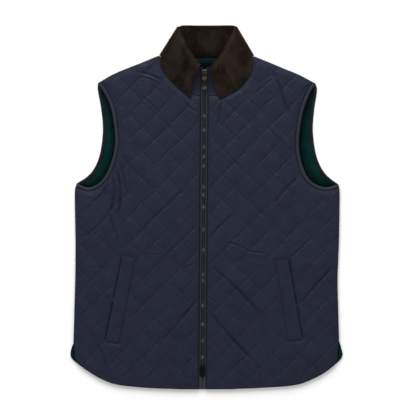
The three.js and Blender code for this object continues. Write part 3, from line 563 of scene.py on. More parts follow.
def colours():
    return bpy.context.scene.vest_colours


def quilt_diagonal():
    """From one crossing of the stitch lines to the next one across a diamond, in millimetres"""
    return sizes().quilt_pitch * METRE * math.sqrt(2)


# Materials


def group_with(name, inputs, outputs):
    """A node group with named sockets. Returns the group with its input and output nodes."""
    group = bpy.data.node_groups.new(name, "ShaderNodeTree")
    for label, kind, default in inputs:
        socket = group.interface.new_socket(label, in_out="INPUT", socket_type=kind)
        socket.default_value = default
    for label, kind in outputs:
        group.interface.new_socket(label, in_out="OUTPUT", socket_type=kind)
    return group, group.nodes.new("NodeGroupInput"), group.nodes.new("NodeGroupOutput")


class Graph:
    """Short ways to add and join shader nodes"""

    def __init__(self, tree):
        self.tree = tree

    def node(self, kind, **settings):
        made = self.tree.nodes.new(kind)
        inputs = settings.pop("inputs", {})
        for key, value in settings.items():
            setattr(made, key, value)
        for key, value in inputs.items():
            self.set(made.inputs[key], value)
        return made

    def set(self, socket, value):
        if isinstance(value, bpy.types.NodeSocket):
            self.tree.links.new(value, socket)
        else:
            socket.default_value = value

    def math(self, operation, a, b=None, c=None):
        made = self.tree.nodes.new("ShaderNodeMath")
        made.operation = operation
        for socket, value in zip(made.inputs, (a, b, c)):
            if value is not None:
                self.set(socket, value)
        return made.outputs[0]

    def mix(self, factor, a, b, blend="MIX"):
        made = self.tree.nodes.new("ShaderNodeMix")
        made.data_type = "RGBA"
        made.blend_type = blend
        self.set(made.inputs[0], factor)
        self.set(made.inputs[6], a)
        self.set(made.inputs[7], b)
        return made.outputs[2]

    def place(self):
        return self.node("ShaderNodeTexCoord").outputs["Object"]

    def noise(self, vector, scale, detail=2.0, roughness=0.5):
        values = {"Scale": scale, "Detail": detail, "Roughness": roughness}
        made = self.node("ShaderNodeTexNoise", inputs=values)
        self.set(made.inputs["Vector"], vector)
        return made.outputs["Fac"]

    def bump(self, shader, height, strength, distance):
        values = {"Strength": strength, "Distance": distance, "Height": height}
        made = self.node("ShaderNodeBump", inputs=values)
        self.set(shader.inputs["Normal"], made.outputs["Normal"])


def started(name):
    """A new material, with its graph and its shader node"""
    material = bpy.data.materials.new(name)
    material.use_nodes = True
    return material, Graph(material.node_tree), material.node_tree.nodes["Principled BSDF"]


def scaled(colour, share):
    return tuple(c * share for c in tuple(colour)[:3]) + (1,)


def weave_group():
    """Crossing threads: Height of the cloth's face, for a Bump"""
    group, inside, outside = group_with(
        "Plain weave",
        [("Vector", "NodeSocketVector", (0, 0, 0)), ("Threads per metre", "NodeSocketFloat", 2200.0)],
        [("Height", "NodeSocketFloat")],
    )
    g = Graph(group)
    parts = g.node("ShaderNodeSeparateXYZ", inputs={"Vector": inside.outputs["Vector"]})
    turn = g.math("MULTIPLY", inside.outputs["Threads per metre"], math.pi)
    warp = g.math("SINE", g.math("MULTIPLY", parts.outputs["X"], turn))
    weft = g.math("SINE", g.math("MULTIPLY", parts.outputs["Y"], turn))
    product = g.math("MULTIPLY", warp, weft)
    g.set(outside.inputs["Height"], g.math("MULTIPLY_ADD", product, 0.5, 0.5))
    return group


def crumple_group():
    """Soft random creases in thin cloth: Height for a Bump, and a Shade to vary its colour"""
    group, inside, outside = group_with(
        "Crumpled cloth",
        [
            ("Vector", "NodeSocketVector", (0, 0, 0)),
            ("Creases per metre", "NodeSocketFloat", 60.0),
            ("Patches per metre", "NodeSocketFloat", 42.0),
        ],
        [("Height", "NodeSocketFloat"), ("Shade", "NodeSocketFloat")],
    )
    g = Graph(group)
    vector = inside.outputs["Vector"]
    wide = g.noise(vector, inside.outputs["Creases per metre"], 3, 0.55)
    ridge = g.math("ABSOLUTE", g.math("SUBTRACT", wide, 0.5))
    sharp = g.math("POWER", g.math("SUBTRACT", 1.0, g.math("MULTIPLY", ridge, 2.0)), 6.0)
    fine = g.noise(vector, g.math("MULTIPLY", inside.outputs["Creases per metre"], 4.0), 2, 0.5)
    g.set(outside.inputs["Height"], g.math("MULTIPLY_ADD", fine, 0.35, g.math("MULTIPLY", sharp, -0.6)))
    g.set(outside.inputs["Shade"], g.noise(vector, inside.outputs["Patches per metre"], 4, 0.62))
    return group


def nap_group():
    """Short pile with random lighter and darker patches, as from wear and brushing: a Shade and a fine Height
    """
    group, inside, outside = group_with(
        "Corduroy nap",
        [("Vector", "NodeSocketVector", (0, 0, 0)), ("Tufts per metre", "NodeSocketFloat", 900.0)],
        [("Height", "NodeSocketFloat"), ("Shade", "NodeSocketFloat")],
    )
    g = Graph(group)
    vector = inside.outputs["Vector"]
    tufts = g.noise(vector, inside.outputs["Tufts per metre"], 2, 0.6)
    broad_tone = g.noise(vector, g.math("MULTIPLY", inside.outputs["Tufts per metre"], 0.05), 4, 0.65)
    g.set(outside.inputs["Height"], tufts)
    g.set(outside.inputs["Shade"], g.math("MULTIPLY_ADD", tufts, 0.35, g.math("MULTIPLY", broad_tone, 0.65)))
    return group


def shared_group(name, make):
    return bpy.data.node_groups.get(name) or make()


def cloth_material(name, colour, threads, bump, roughness, gloss, sheen, creases, patch_strength, sheen_tint):
    """Woven cloth with crumples, patches of shade, and painted shade that its mesh carries: dark stitch
    lines, creases, edges and places under other parts
    """
    material = bpy.data.materials.get(name)
    if material:
        return material
    material, g, shader = started(name)
    place = g.place()
    weave = g.node("ShaderNodeGroup", node_tree=shared_group("Plain weave", weave_group))
    g.set(weave.inputs["Vector"], place)
    g.set(weave.inputs["Threads per metre"], threads)
    crumple = g.node("ShaderNodeGroup", node_tree=shared_group("Crumpled cloth", crumple_group))
    g.set(crumple.inputs["Vector"], place)
    g.set(crumple.inputs["Creases per metre"], creases)
    dark = scaled(colour, 1 - 1.7 * patch_strength)
    light = scaled(colour, 1 + 1.7 * patch_strength)
    patches = g.mix(crumple.outputs["Shade"], dark, light)
    # Painted shade: a per-point amount set on each mesh, darkening the base colour where shade would fall
    painted_shade = g.node("ShaderNodeAttribute", attribute_name="painted_shade").outputs["Fac"]
    shade = g.math("SUBTRACT", 1.0, g.math("MULTIPLY", painted_shade, 0.55))
    g.set(shader.inputs["Base Color"], g.mix(1.0, patches, shade_colour(g, shade), "MULTIPLY"))
    rough = g.math("MULTIPLY_ADD", crumple.outputs["Shade"], 0.12, roughness - 0.06)
    g.set(shader.inputs["Roughness"], rough)
    shader.inputs["Sheen Weight"].default_value = sheen
    shader.inputs["Sheen Roughness"].default_value = 0.45
    shader.inputs["Sheen Tint"].default_value = sheen_tint
    shader.inputs["Specular IOR Level"].default_value = gloss
    crumpled = g.math("MULTIPLY", crumple.outputs["Height"], 0.5)
    height = g.math("MULTIPLY_ADD", weave.outputs["Height"], 0.06, crumpled)
    g.bump(shader, height, bump, 0.0009)
    return material


def shade_colour(g, value):
    channels = {"Red": value, "Green": value, "Blue": value}
    return g.node("ShaderNodeCombineColor", inputs=channels).outputs["Color"]


NAVY_SHEEN = (0.55, 0.62, 0.85, 1)


def shell_cloth():
    return cloth_material(
        "Navy shell cloth", colours().shell, threads=2400, bump=0.7, roughness=0.46, gloss=0.1,
        sheen=0.01, creases=105, patch_strength=0.2, sheen_tint=NAVY_SHEEN,
    )


def back_binding_cloth():
    # Painted shade: the back's binding is a darker copy of the binding colour
    shaded_binding_colour = scaled(colours().binding, 0.45)
    return cloth_material(
        "Shaded binding", shaded_binding_colour, threads=1900, bump=0.4, roughness=0.5, gloss=0.08,
        sheen=0.0, creases=90, patch_strength=0.2, sheen_tint=NAVY_SHEEN,
    )


def binding_cloth():
    return cloth_material(
        "Navy binding", colours().binding, threads=1900, bump=0.4, roughness=0.5, gloss=0.18,
        sheen=0.02, creases=90, patch_strength=0.2, sheen_tint=NAVY_SHEEN,
    )


def lining_cloth():
    return cloth_material(
        "Green lining", colours().lining, threads=2600, bump=0.3, roughness=0.36, gloss=0.02,
        sheen=0.0, creases=40, patch_strength=0.3, sheen_tint=(0.5, 0.8, 0.75, 1),
    )


def tape_cloth():
    return cloth_material(
        "Zip tape weave", colours().tape, threads=1300, bump=0.6, roughness=0.7, gloss=0.25,
        sheen=0.06, creases=120, patch_strength=0.1, sheen_tint=NAVY_SHEEN,
    )


def corduroy_cloth():
    material = bpy.data.materials.get("Brown corduroy")
    if material:
        return material
    material, g, shader = started("Brown corduroy")
    nap = g.node("ShaderNodeGroup", node_tree=shared_group("Corduroy nap", nap_group))
    g.set(nap.inputs["Vector"], g.place())
    base = tuple(colours().corduroy)
    dark = scaled(base, 0.2)
    light = scaled(base, 2.7)
    # The wale attribute carries painted shade between the ribs, in dents and on the stand, a painted
    # highlight along the roll, and random streaks
    wale = g.node("ShaderNodeAttribute", attribute_name="wale").outputs["Fac"]
    tone = g.math("MULTIPLY_ADD", wale, 0.75, g.math("MULTIPLY_ADD", nap.outputs["Shade"], 1.7, -0.78))
    g.set(shader.inputs["Base Color"], g.mix(tone, dark, light))
    shader.inputs["Roughness"].default_value = 0.95
    shader.inputs["Sheen Weight"].default_value = 0.1
    shader.inputs["Sheen Roughness"].default_value = 0.35
    shader.inputs["Sheen Tint"].default_value = (0.62, 0.48, 0.40, 1)
    shader.inputs["Specular IOR Level"].default_value = 0.06
    g.bump(shader, nap.outputs["Height"], 0.5, 0.0005)
    return material


TOOTH_FINISH = (0.06, 0.062, 0.078, 1)
BOX_FINISH = (0.008, 0.008, 0.009, 1)


# Height up the garment, and how bright the slider and its tab are painted there: bands of painted highlight
HIGHLIGHT_LOW = 248.0
HIGHLIGHT_HIGH = 298.0
PAINTED_METAL_HIGHLIGHTS = (
    (249, 0.1), (254.5, 0.5), (258, 0.0), (268, 0.0), (273.5, 0.55), (278, 0.05), (288, 0.05), (292.5, 1.3),
)


def metal_finish(name="Antique metal", tooth_finish=None, least=0.05):
    material = bpy.data.materials.get(name)
    if material:
        return material
    material, g, shader = started(name)
    place = g.place()
    tarnish = g.noise(place, 260, 4, 0.65)
    base = tuple(colours().metal)
    dark = scaled(base, 0.055)
    # Teeth get painted glints from a per-tooth attribute; the slider and tab get bands of painted highlight
    # up the garment, broken up by the tarnish noise
    if tooth_finish:
        dark = tooth_finish
        painted_tooth_glint = g.node("ShaderNodeAttribute", attribute_name="painted_highlight").outputs["Fac"]
        bright = g.math("MULTIPLY_ADD", painted_tooth_glint, 0.8, least)
    else:
        along = g.node("ShaderNodeSeparateXYZ", inputs={"Vector": place}).outputs["Y"]
        share = g.math("DIVIDE", g.math("SUBTRACT", along, HIGHLIGHT_LOW / METRE), (HIGHLIGHT_HIGH - HIGHLIGHT_LOW) / METRE)
        ramp = g.node("ShaderNodeValToRGB", inputs={"Fac": share})
        for height, painted_highlight in PAINTED_METAL_HIGHLIGHTS:
            stop = ramp.color_ramp.elements.new((height - HIGHLIGHT_LOW) / (HIGHLIGHT_HIGH - HIGHLIGHT_LOW))
            stop.color = (painted_highlight, painted_highlight, painted_highlight, 1)
        bright = g.math("MULTIPLY", ramp.outputs["Color"], g.math("MULTIPLY_ADD", tarnish, 3.0, -1.0))
    g.set(shader.inputs["Base Color"], g.mix(bright, dark, base))
    shader.inputs["Metallic"].default_value = 1.0
    g.set(shader.inputs["Roughness"], g.math("MULTIPLY_ADD", tarnish, -0.25, 0.5))
    g.bump(shader, g.noise(place, 1800, 2), 0.25, 0.0002)
    return material


def thread_finish():
    material = bpy.data.materials.get("Navy thread")
    if material:
        return material
    material, g, shader = started("Navy thread")
    twist = g.noise(g.place(), 2500, 2)
    base = tuple(colours().thread)
    g.set(shader.inputs["Base Color"], g.mix(twist, scaled(base, 0.7), base))
    shader.inputs["Roughness"].default_value = 0.6
    g.bump(shader, twist, 0.4, 0.0002)
    return material


# Quilting, shared by the fronts and the back

NEAR_LINE_SHARES = (0, 0.018, 0.042, 0.075, 0.12, 0.88, 0.925, 0.958, 0.982)
QUILT_SHARES = (*NEAR_LINE_SHARES, *np.linspace(0.175, 0.825, 12))
CREASE_PLACES = (-1.7, -1.2, -0.8, -0.45, -0.2, 0, 0.2, 0.45, 0.8, 1.2, 1.7)
GROOVE_WIDTH = 1.3
# Spacing of the dashes of painted shade along the fronts' edges
EDGE_PUCKER = 12.2

BACK_SEED = 11

# How far from the edge a panel's quilting stitches stop, and where the rows of topstitching run
QUILTING_CLEAR = 5
TOPSTITCH_INSET = 6.5
WELT_STITCH_INSET = 3.6


def quilt_shares(x, y, phase):
    """Where points lie across both sets of stitch lines, in pitches. The lines waver a little."""
    diagonal = quilt_diagonal()
    x, y = x + waver_x(x, y), y + waver_y(x, y)
    return (x - y - phase[0]) / diagonal, (x + y - phase[1]) / diagonal


def waver_x(x, y):
    return 1.3 * smooth_noise(x, y, 52, 44, 3) + 0.35 * smooth_noise(x, y, 17, 19, 5)


def waver_y(x, y):
    return 1.3 * smooth_noise(x, y, 47, 55, 4) + 0.35 * smooth_noise(x, y, 18, 15, 6)


def quilt_places(down, up, phase):
    """The points at given shares across both sets of lines"""
    diagonal = quilt_diagonal()
    even_x = (diagonal * (down + up) + phase[0] + phase[1]) / 2
    even_y = (diagonal * (up - down) + phase[1] - phase[0]) / 2
    x, y = even_x, even_y
    for _ in range(3):
        x, y = even_x - waver_x(x, y), even_y - waver_y(x, y)
    return np.column_stack([x, y])


def line_gap(share):
    """Distance in millimetres from a stitch line, for a share of the pitch"""
    return np.abs(share - np.round(share)) * sizes().quilt_pitch * METRE


def quilt_lines(x, y, phase, seed):
    """For both sets of lines: share of the pitch, gap to the line, pull of the thread, and way along it"""
    pitch = sizes().quilt_pitch * METRE
    down, up = quilt_shares(x, y, phase)
    found = []
    for share, other, tension, turn in ((down, up, 1.0, 1), (up, down, 0.55, 2)):
        along = other * pitch
        pull = 0.55 + 0.75 * smooth_noise(along, np.round(share) * 17, 46, 1, seed + turn)
        pull = np.clip(pull, 0.08, 1) * (0.62 + 0.04 * soft((y + 160) / 260))
        found.append((share, line_gap(share), tension * pull, along))
    return found


def groove_mask(x, y, phase, seed):
    masks = [pull * bell(gap, GROOVE_WIDTH) for _, gap, pull, _ in quilt_lines(x, y, phase, seed)]
    return np.maximum(*masks)


def quilted_height(x, y, phase, seed):
    """Pads that swell between the stitch lines, with puckers along them"""
    down, up = quilt_shares(x, y, phase)
    swell = 1 + 0.3 * smooth_noise(np.floor(down) * 1.7, np.floor(up) * 1.3, 1, 1, seed)
    puckers = 0
    for share, gap, pull, along in quilt_lines(x, y, phase, seed):
        swell = swell * (1 - (0.35 + 0.65 * pull) * (1 - np.abs(np.sin(math.pi * share)) ** 0.45))
        pucker = smooth_noise(along, np.round(share) * 31, 3.6, 1, seed + 11)
        puckers = puckers + 0.46 * pucker * bell(gap, 6.5) * soft(gap / 1.5)
    sunk = sizes().groove_depth * METRE * groove_mask(x, y, phase, seed)
    return sizes().pad_rise * METRE * swell + puckers - sunk


def with_crease_points(points, rows):
    """The points, with those near the creases replaced by rows of points that follow each crease"""
    for row in rows:
        line = even_line(smooth_line(row["line"], 6), 2.4)
        near = distance_to_lines(points, line[:-1], line[1:]) < 1.95 * row["width"]
        added = [offset_line(line, place * row["width"]) for place in CREASE_PLACES]
        points = np.vstack([points[~near], *added])
    return points


def crease_shape(x, y, rows):
    """Troughs along the creases with a low ridge on both sides, and how much painted shade each point gets
    from lying in a trough, more on upright creases
    """
    total = np.zeros(len(x))
    depth = np.zeros(len(x))
    points = np.column_stack([x, y])
    for row in rows:
        line = smooth_line(row["line"], 6)
        width = row["width"]
        reach = 4 * width
        near = (
            (x > line[:, 0].min() - reach) & (x < line[:, 0].max() + reach)
            & (y > line[:, 1].min() - reach) & (y < line[:, 1].max() + reach)
        )
        if not near.any():
            continue
        p = points[near]
        starts, ends = line[:-1], line[1:]
        along = ends - starts
        length = np.linalg.norm(along, axis=1)
        run = np.concatenate([[0], np.cumsum(length)])
        t = np.clip(((p[:, None] - starts) * along).sum(2) / length**2, 0, 1)
        gap = p[:, None] - starts - along * t[..., None]
        far = np.sqrt((gap**2).sum(2))
        k = far.argmin(1)
        pick = np.arange(len(p))
        cross = along[k, 0] * gap[pick, k, 1] - along[k, 1] * gap[pick, k, 0]
        across = np.sign(cross) * far[pick, k]
        share = (run[k] + t[pick, k] * length[k]) / run[-1]
        beyond = (t[pick, k] <= 0) & (k == 0) | (t[pick, k] >= 1) & (k == len(starts) - 1)
        ends_fade = soft(share / 0.15) * soft((1 - share) / 0.15)
        fade = np.where(beyond, 0, ends_fade)
        waver = 0.87 + 0.13 * np.sin(share * 9 + row["depth"] * 5)
        trough = bell(across, 0.4 * width)
        ridge = bell(across - width, 0.7 * width) + bell(across + width, 0.7 * width)
        total[near] += row["depth"] * fade * waver * (0.3 * ridge - trough)
        # Painted shade in the troughs, strongest on upright creases, whose troughs the light shades least
        upright = (along[k, 1] / length[k]) ** 4
        tone = (0.72 + 0.2 * upright) * min(1, row["depth"] / 1.3)
        depth[near] = np.maximum(depth[near], tone * fade * waver * trough)
    return total * sizes().crease_strength, depth


# Fronts


class Front:
    """One quilted front: its outline, what presses on it, and the height of its upper side"""

    def __init__(self, side):
        self.side = side
        self.phase = QUILT_PHASE[side]
        self.ring = flat_ring(f"front_{side}")
        self.welt = rows_of([placed(p, side) for p in WELT_CORNERS[side]])
        sections = collar_sections(side)
        part = sections["part"] <= 1
        leaf = np.vstack([sections["leaf_end"][part][:, :2], sections["leaf_start"][part][::-1, :2]])
        self.leaf = leaf[::4]
        self.seed = 20 + SIDES[side]

    def top(self, x, y, d):
        points = np.column_stack([x, y])
        leaf_gap = gap_outside(points, self.leaf)
        welt_gap = gap_outside(points, self.welt)
        free = soft((leaf_gap - 1.5) / 9) * soft((welt_gap - 1.5) / 8)
        quilt = quilted_height(x, y, self.phase, self.seed)
        crease, _ = crease_shape(x, y, CREASES[self.side])
        rolling = 0.5 * smooth_noise(x, y, 46, 60, self.seed + 3)
        rolling += 0.22 * smooth_noise(x, y, 13, 24, self.seed + 4)
        patchy = soft(0.5 + 0.9 * smooth_noise(x, y, 60, 70, self.seed + 6))
        rolling += 0.4 * patchy * smooth_noise(x + 0.25 * y, y, 6.5, 24, self.seed + 5)
        inner = soft((d - 1.5) / 9)
        edge_fall = 1.0 * (1 - soft(d / 15))
        hem_pad = 0.5 * bell(d - 3.5, 2.2)
        mouth = 1.1 * bell(np.maximum(welt_gap - 0.6, 0), 1.4) * self.outer_of_welt(points)
        return FRONT_SEAM - edge_fall + free * inner * (quilt + crease + rolling) + hem_pad * free - mouth

    def outer_of_welt(self, points):
        """1 beside the welt's outer long edge, where the pocket opens, and 0 elsewhere"""
        a, b = self.welt[1], self.welt[2]
        along = (b - a) / np.linalg.norm(b - a)
        way = (points - a) @ along
        outward = np.array([-along[1], along[0]]) * SIDES[self.side]
        across = (points - a) @ outward
        return ((way > 2) & (way < np.linalg.norm(b - a) - 2) & (across > -0.5) & (across < 6)).astype(float)

    # Painted shade on a front: along the stitch lines and creases, in the pocket's mouth, along the edges (a
    # dark line beside the zip, dashes elsewhere) and at the hem
    def painted_shade(self, x, y, d):
        points = np.column_stack([x, y])
        leaf_gap = gap_outside(points, self.leaf)
        welt_gap = gap_outside(points, self.welt)
        shown = soft((d - 3) / 6) * soft(leaf_gap / 6) * soft(welt_gap / 4)
        mouth = bell(np.maximum(welt_gap - 0.8, 0), 1.2) * self.outer_of_welt(points)
        _, crease = crease_shape(x, y, CREASES[self.side])
        line = groove_mask(x, y, self.phase, self.seed)
        by_zip = np.abs(x - zip_x(y)) < ZIP_GAP + 3
        turn = 2 * math.pi * (y - np.abs(x)) / EDGE_PUCKER
        puckered = 0.5 + 0.5 * np.sin(turn + 1.4 * smooth_noise(x, y, 30, 30, 9))
        rim = np.where(by_zip, 1.7 * bell(d, 1.3), (0.6 + 0.7 * puckered) * bell(d, 1.5))
        hem = 1.3 * bell(d, 1.7) * soft((-250 - y) / 30) * ~by_zip
        dark_line = np.maximum(0.4 * line, crease) * shown
        return np.maximum.reduce([dark_line, 1.65 * mouth, rim, hem])

    def height_at(self, points):
        d = distance_to_ring(points, self.ring)
        return self.top(points[:, 0], points[:, 1], d)


def quilt_stitches(ring, phase, clear):
    """Middle points and directions of the stitches along both sets of quilting lines"""
    diagonal = quilt_diagonal()
    step = sizes().stitch_step * METRE / (diagonal / math.sqrt(2))
    x, y = ring[:, 0], ring[:, 1]
    down, up = (x - y - phase[0]) / diagonal, (x + y - phase[1]) / diagonal
    found = []
    for across, along, nudge in ((down, up, (0, 0.01)), (up, down, (0.01, 0))):
        lines = np.arange(math.ceil(across.min()), math.floor(across.max()) + 1)
        places = np.arange(along.min(), along.max(), step)
        a, b = np.meshgrid(lines, places, indexing="ij")
        d, u = (a, b) if across is down else (b, a)
        points = quilt_places(d.ravel(), u.ravel(), phase)
        ahead = quilt_places(d.ravel() + nudge[0], u.ravel() + nudge[1], phase)
        ways = unit_rows(ahead - points)
        kept = inside_ring(points, ring)
        points, ways = points[kept], ways[kept]
        kept = distance_to_ring(points, ring) > clear
        found.append((points[kept], ways[kept]))
    return np.vstack([f[0] for f in found]), np.vstack([f[1] for f in found])


def stitch_mesh(middles, ways, height, lift=0.15, length=None):
    """Small tapering stitches that follow a surface. height gives z for an array of x and y."""
    length = length or sizes().stitch_length * METRE
    a = middles - ways * length / 2
    b = middles + ways * length / 2
    start = np.column_stack([a, height(a) + lift - 0.25])
    end = np.column_stack([b, height(b) + lift - 0.25])
    centre = np.column_stack([middles, height(middles) + lift])
    across = np.column_stack([-ways[:, 1], ways[:, 0], np.zeros(len(ways))])
    up = np.array([0.0, 0.0, 1.0])
    r = sizes().thread * METRE / 2
    q1, q2 = centre * 0.62 + start * 0.38, centre * 0.62 + end * 0.38
    rings = []
    for q in (q1, q2):
        rings += [q + across * r, q + up * r, q - across * r, q - up * r]
    points = np.stack([start, *rings, end], axis=1).reshape(-1, 3)
    pattern = [(0, 2, 1), (0, 3, 2), (0, 4, 3), (0, 1, 4), (9, 5, 6), (9, 6, 7), (9, 7, 8), (9, 8, 5)]
    pattern += [(1, 2, 6, 5), (2, 3, 7, 6), (3, 4, 8, 7), (4, 1, 5, 8)]
    faces = []
    for i in range(len(middles)):
        faces += [tuple(10 * i + k for k in f) for f in pattern]
    return points, faces


def sew(name, middles, ways, height, slot="shell", **shape):
    """A piece of thread with a stitch at each place. shape goes to stitch_mesh."""
    points, faces = stitch_mesh(middles, ways, height, **shape)
    return new_piece(name, points, faces, thread_finish(), smooth=False)


def seam_stitches(line):
    """Middles and directions of stitches along a line in plan"""
    even = even_line(line, sizes().stitch_step * METRE)
    return (even[1:] + even[:-1]) / 2, unit_rows(np.diff(even, axis=0))


TACK_LENGTH = 9.0
TACK_WIDTH = 2.0
TACK_STEP = 0.55
TACK_INSET = 1.8


def bar_tacks(side):
    """Short stitches close together across both ends of a pocket's mouth"""
    inner_top, outer_top, outer_low, inner_low = (placed(p, side) for p in WELT_CORNERS[side])
    down = unit_rows(outer_low - outer_top)
    middles, ways = [], []
    for outer, inner, inward in ((outer_top, inner_top, down), (outer_low, inner_low, -down)):
        across = unit_rows(inner - outer)
        for place in np.arange(TACK_INSET, TACK_INSET + TACK_LENGTH, TACK_STEP):
            middles.append(outer + across * place + inward * TACK_INSET)
            ways.append(down)
    return rows_of(middles), rows_of(ways)


# Collar


def collar_key(row, side):
    roll, edge, seam = (placed(row[k], side) for k in ("roll", "edge", "seam"))
    back = (roll - edge) / np.linalg.norm(roll - edge)
    start = roll - back * (COLLAR_WALL / 2 + ROLL_RADIUS)
    behind = "leaf" not in row
    leaf_z = BACK_LEAF_Z if behind else row["leaf"]
    stand_z = BACK_STAND_Z if behind else row["leaf"] - ROLL_LAYERS
    low = seam + back * SEAM_GAP
    return np.concatenate([
        [*start, leaf_z],
        [*edge, BACK_LEAF_Z if behind else LEAF_EDGE_Z],
        [*start, stand_z],
        [*low, BACK_STAND_Z if behind else SEAM_Z],
        back,
        [SIDES[side] * row.get("bow", 0)],
    ])


def collar_corner(side, steps):
    """The sections that fold from the front round to the back"""
    top, low = (placed(COLLAR_SIDE[side][k], side) for k in ("top", "low"))
    back = (top - low) / np.linalg.norm(top - low)
    outward = SIDES[side] * np.array([back[1], -back[0]])
    made = []
    for turn in np.linspace(0, math.pi, steps + 1):
        row = []
        for radius in (SIDE_RADIUS, STAND_RADIUS):
            for point in (top, low):
                row += [*(point + outward * radius * math.sin(turn)), SIDE_LEVEL + radius * math.cos(turn)]
        made.append(np.array([*row, *back, 0]))
    return made


def collar_sections(side):
    """Close sections of half the collar. part runs to 1 in front, to 2 round the side and to 3 behind."""
    front = [collar_key(row, side) for row in COLLAR_FRONT[side]]
    corner = collar_corner(side, CORNER_STEPS)
    behind = [collar_key(row, side) for row in COLLAR_BACK]
    first = smooth_line(front + [corner[0]], COLLAR_STEPS)
    last = smooth_line([corner[-1]] + behind, COLLAR_STEPS)
    rows = np.vstack([first, rows_of(corner)[1:-1], last])
    around = np.linspace(1, 2, len(corner))[1:-1]
    part = np.concatenate([np.linspace(0, 1, len(first)), around, np.linspace(2, 3, len(last))])
    back = unit_rows(rows[:, 12:14])
    lifted = back * (CORNER_LIFT * bell(part - 2.0, 0.2))[:, None]
    rows[:, 0:2] += lifted
    rows[:, 6:8] += lifted
    ends = ("leaf_start", "leaf_end", "stand_start", "stand_end")
    sections = {key: rows[:, 3 * k : 3 * k + 3] for k, key in enumerate(ends)}
    return {**sections, "back": back, "bow": rows[:, 14], "part": part}


def whole_collar():
    """Both halves in one run, from the right front end round the back to the left front end"""
    right, left = collar_sections("right"), collar_sections("left")
    return {key: np.concatenate([right[key], left[key][-2::-1]]) for key in right}


def at_run(sections, run, places):
    """Sections at given distances along the collar"""
    made = {}
    for key, values in sections.items():
        columns = values.reshape(len(values), -1)
        taken = np.stack([np.interp(places, run, columns[:, k]) for k in range(columns.shape[1])], axis=1)
        made[key] = taken if values.ndim > 1 else taken[:, 0]
    return made


def column_places(length, pitch, per_wale=4):
    """Even places along a strip, closer together at its two ends"""
    count = int(round(length / pitch)) * per_wale
    even = np.linspace(0, length, count + 1)
    ends = rows_of([0.0, 0.12, 0.4, 0.8, 1.3])
    inner = even[(even > 1.6) & (even < length - 1.6)]
    return np.concatenate([ends, inner, length - ends[::-1]])


COLLAR_DENTS = [
    {"at": "right wing", "from": (-49, 338), "to": (-44, 292), "width": 7, "depth": 1.6},
    {"at": "right wing, low", "from": (-72, 300), "to": (-52, 262), "width": 8, "depth": 0.7},
    {"at": "right wing, front", "from": (-27, 292), "to": (-30, 250), "width": 5, "depth": 0.6},
    {"at": "left wing", "from": (34, 306), "to": (42, 262), "width": 5, "depth": 0.5},
    {"at": "left wing, along the front", "from": (26.5, 309), "to": (22, 283), "width": 1.4, "depth": 1.7},
    {"at": "left wing, side", "from": (62, 345), "to": (76, 300), "width": 8, "depth": 0.8},
]


def dent_depth(points):
    """How far the leaf sinks at points in plan"""
    total = np.zeros(len(points))
    for row in COLLAR_DENTS:
        a, b = rows_of(row["from"]), rows_of(row["to"])
        gap = distance_to_lines(points, a[None], b[None])
        total += row["depth"] * bell(gap, row["width"])
    return total


def cloth_wall(middle, half, relief):
    """Points and faces of a wall about a grid. half and relief are thickness and raised pattern per point."""
    along = np.gradient(middle, axis=0)
    across = np.gradient(middle, axis=1)
    normal = unit_rows(np.cross(along, across))
    columns, rows = middle.shape[:2]
    top = middle + normal * (half + relief)[..., None]
    low = middle - normal * half[..., None]
    points = np.vstack([top.reshape(-1, 3), low.reshape(-1, 3)])
    index = np.arange(columns * rows).reshape(columns, rows)
    shift = columns * rows
    a, b, c, d = index[:-1, :-1], index[1:, :-1], index[1:, 1:], index[:-1, 1:]
    upper = np.stack([a, b, c, d], axis=-1).reshape(-1, 4)
    lower = np.stack([a, d, c, b], axis=-1).reshape(-1, 4) + shift
    rim = np.concatenate([index[:, 0], index[-1, 1:], index[-2::-1, -1], index[0, -2:0:-1]])
    after = np.roll(rim, -1)
    skirt = np.stack([rim, rim + shift, after + shift, after], axis=-1)
    return points, outward_first(points, np.vstack([upper, lower, skirt]))


def outward_first(points, faces):
    """Turns a closed mesh's faces the right way out"""
    p = points[faces[:, [0, 1, 2]]]
    q = points[faces[:, [0, 2, 3]]]
    volume = sum(float((t[:, 0] * np.cross(t[:, 1], t[:, 2])).sum()) for t in (p, q))
    return faces if volume > 0 else faces[:, ::-1]


def wale_wave(places, length):
    pitch = sizes().wale_pitch * METRE
    count = round(length / pitch)
    return np.abs(np.sin(math.pi * places * count / length)) ** 0.7


def streaks(places, rows, seed):
    """Lighter and darker wales, which change slowly along their length"""
    at, down = np.meshgrid(places, rows, indexing="ij")
    fine = smooth_noise(at, down, 2.3, 26, seed)
    wide = smooth_noise(at, down, 19, 24, seed + 1)
    return 0.33 + 0.2 * fine + 0.26 * wide


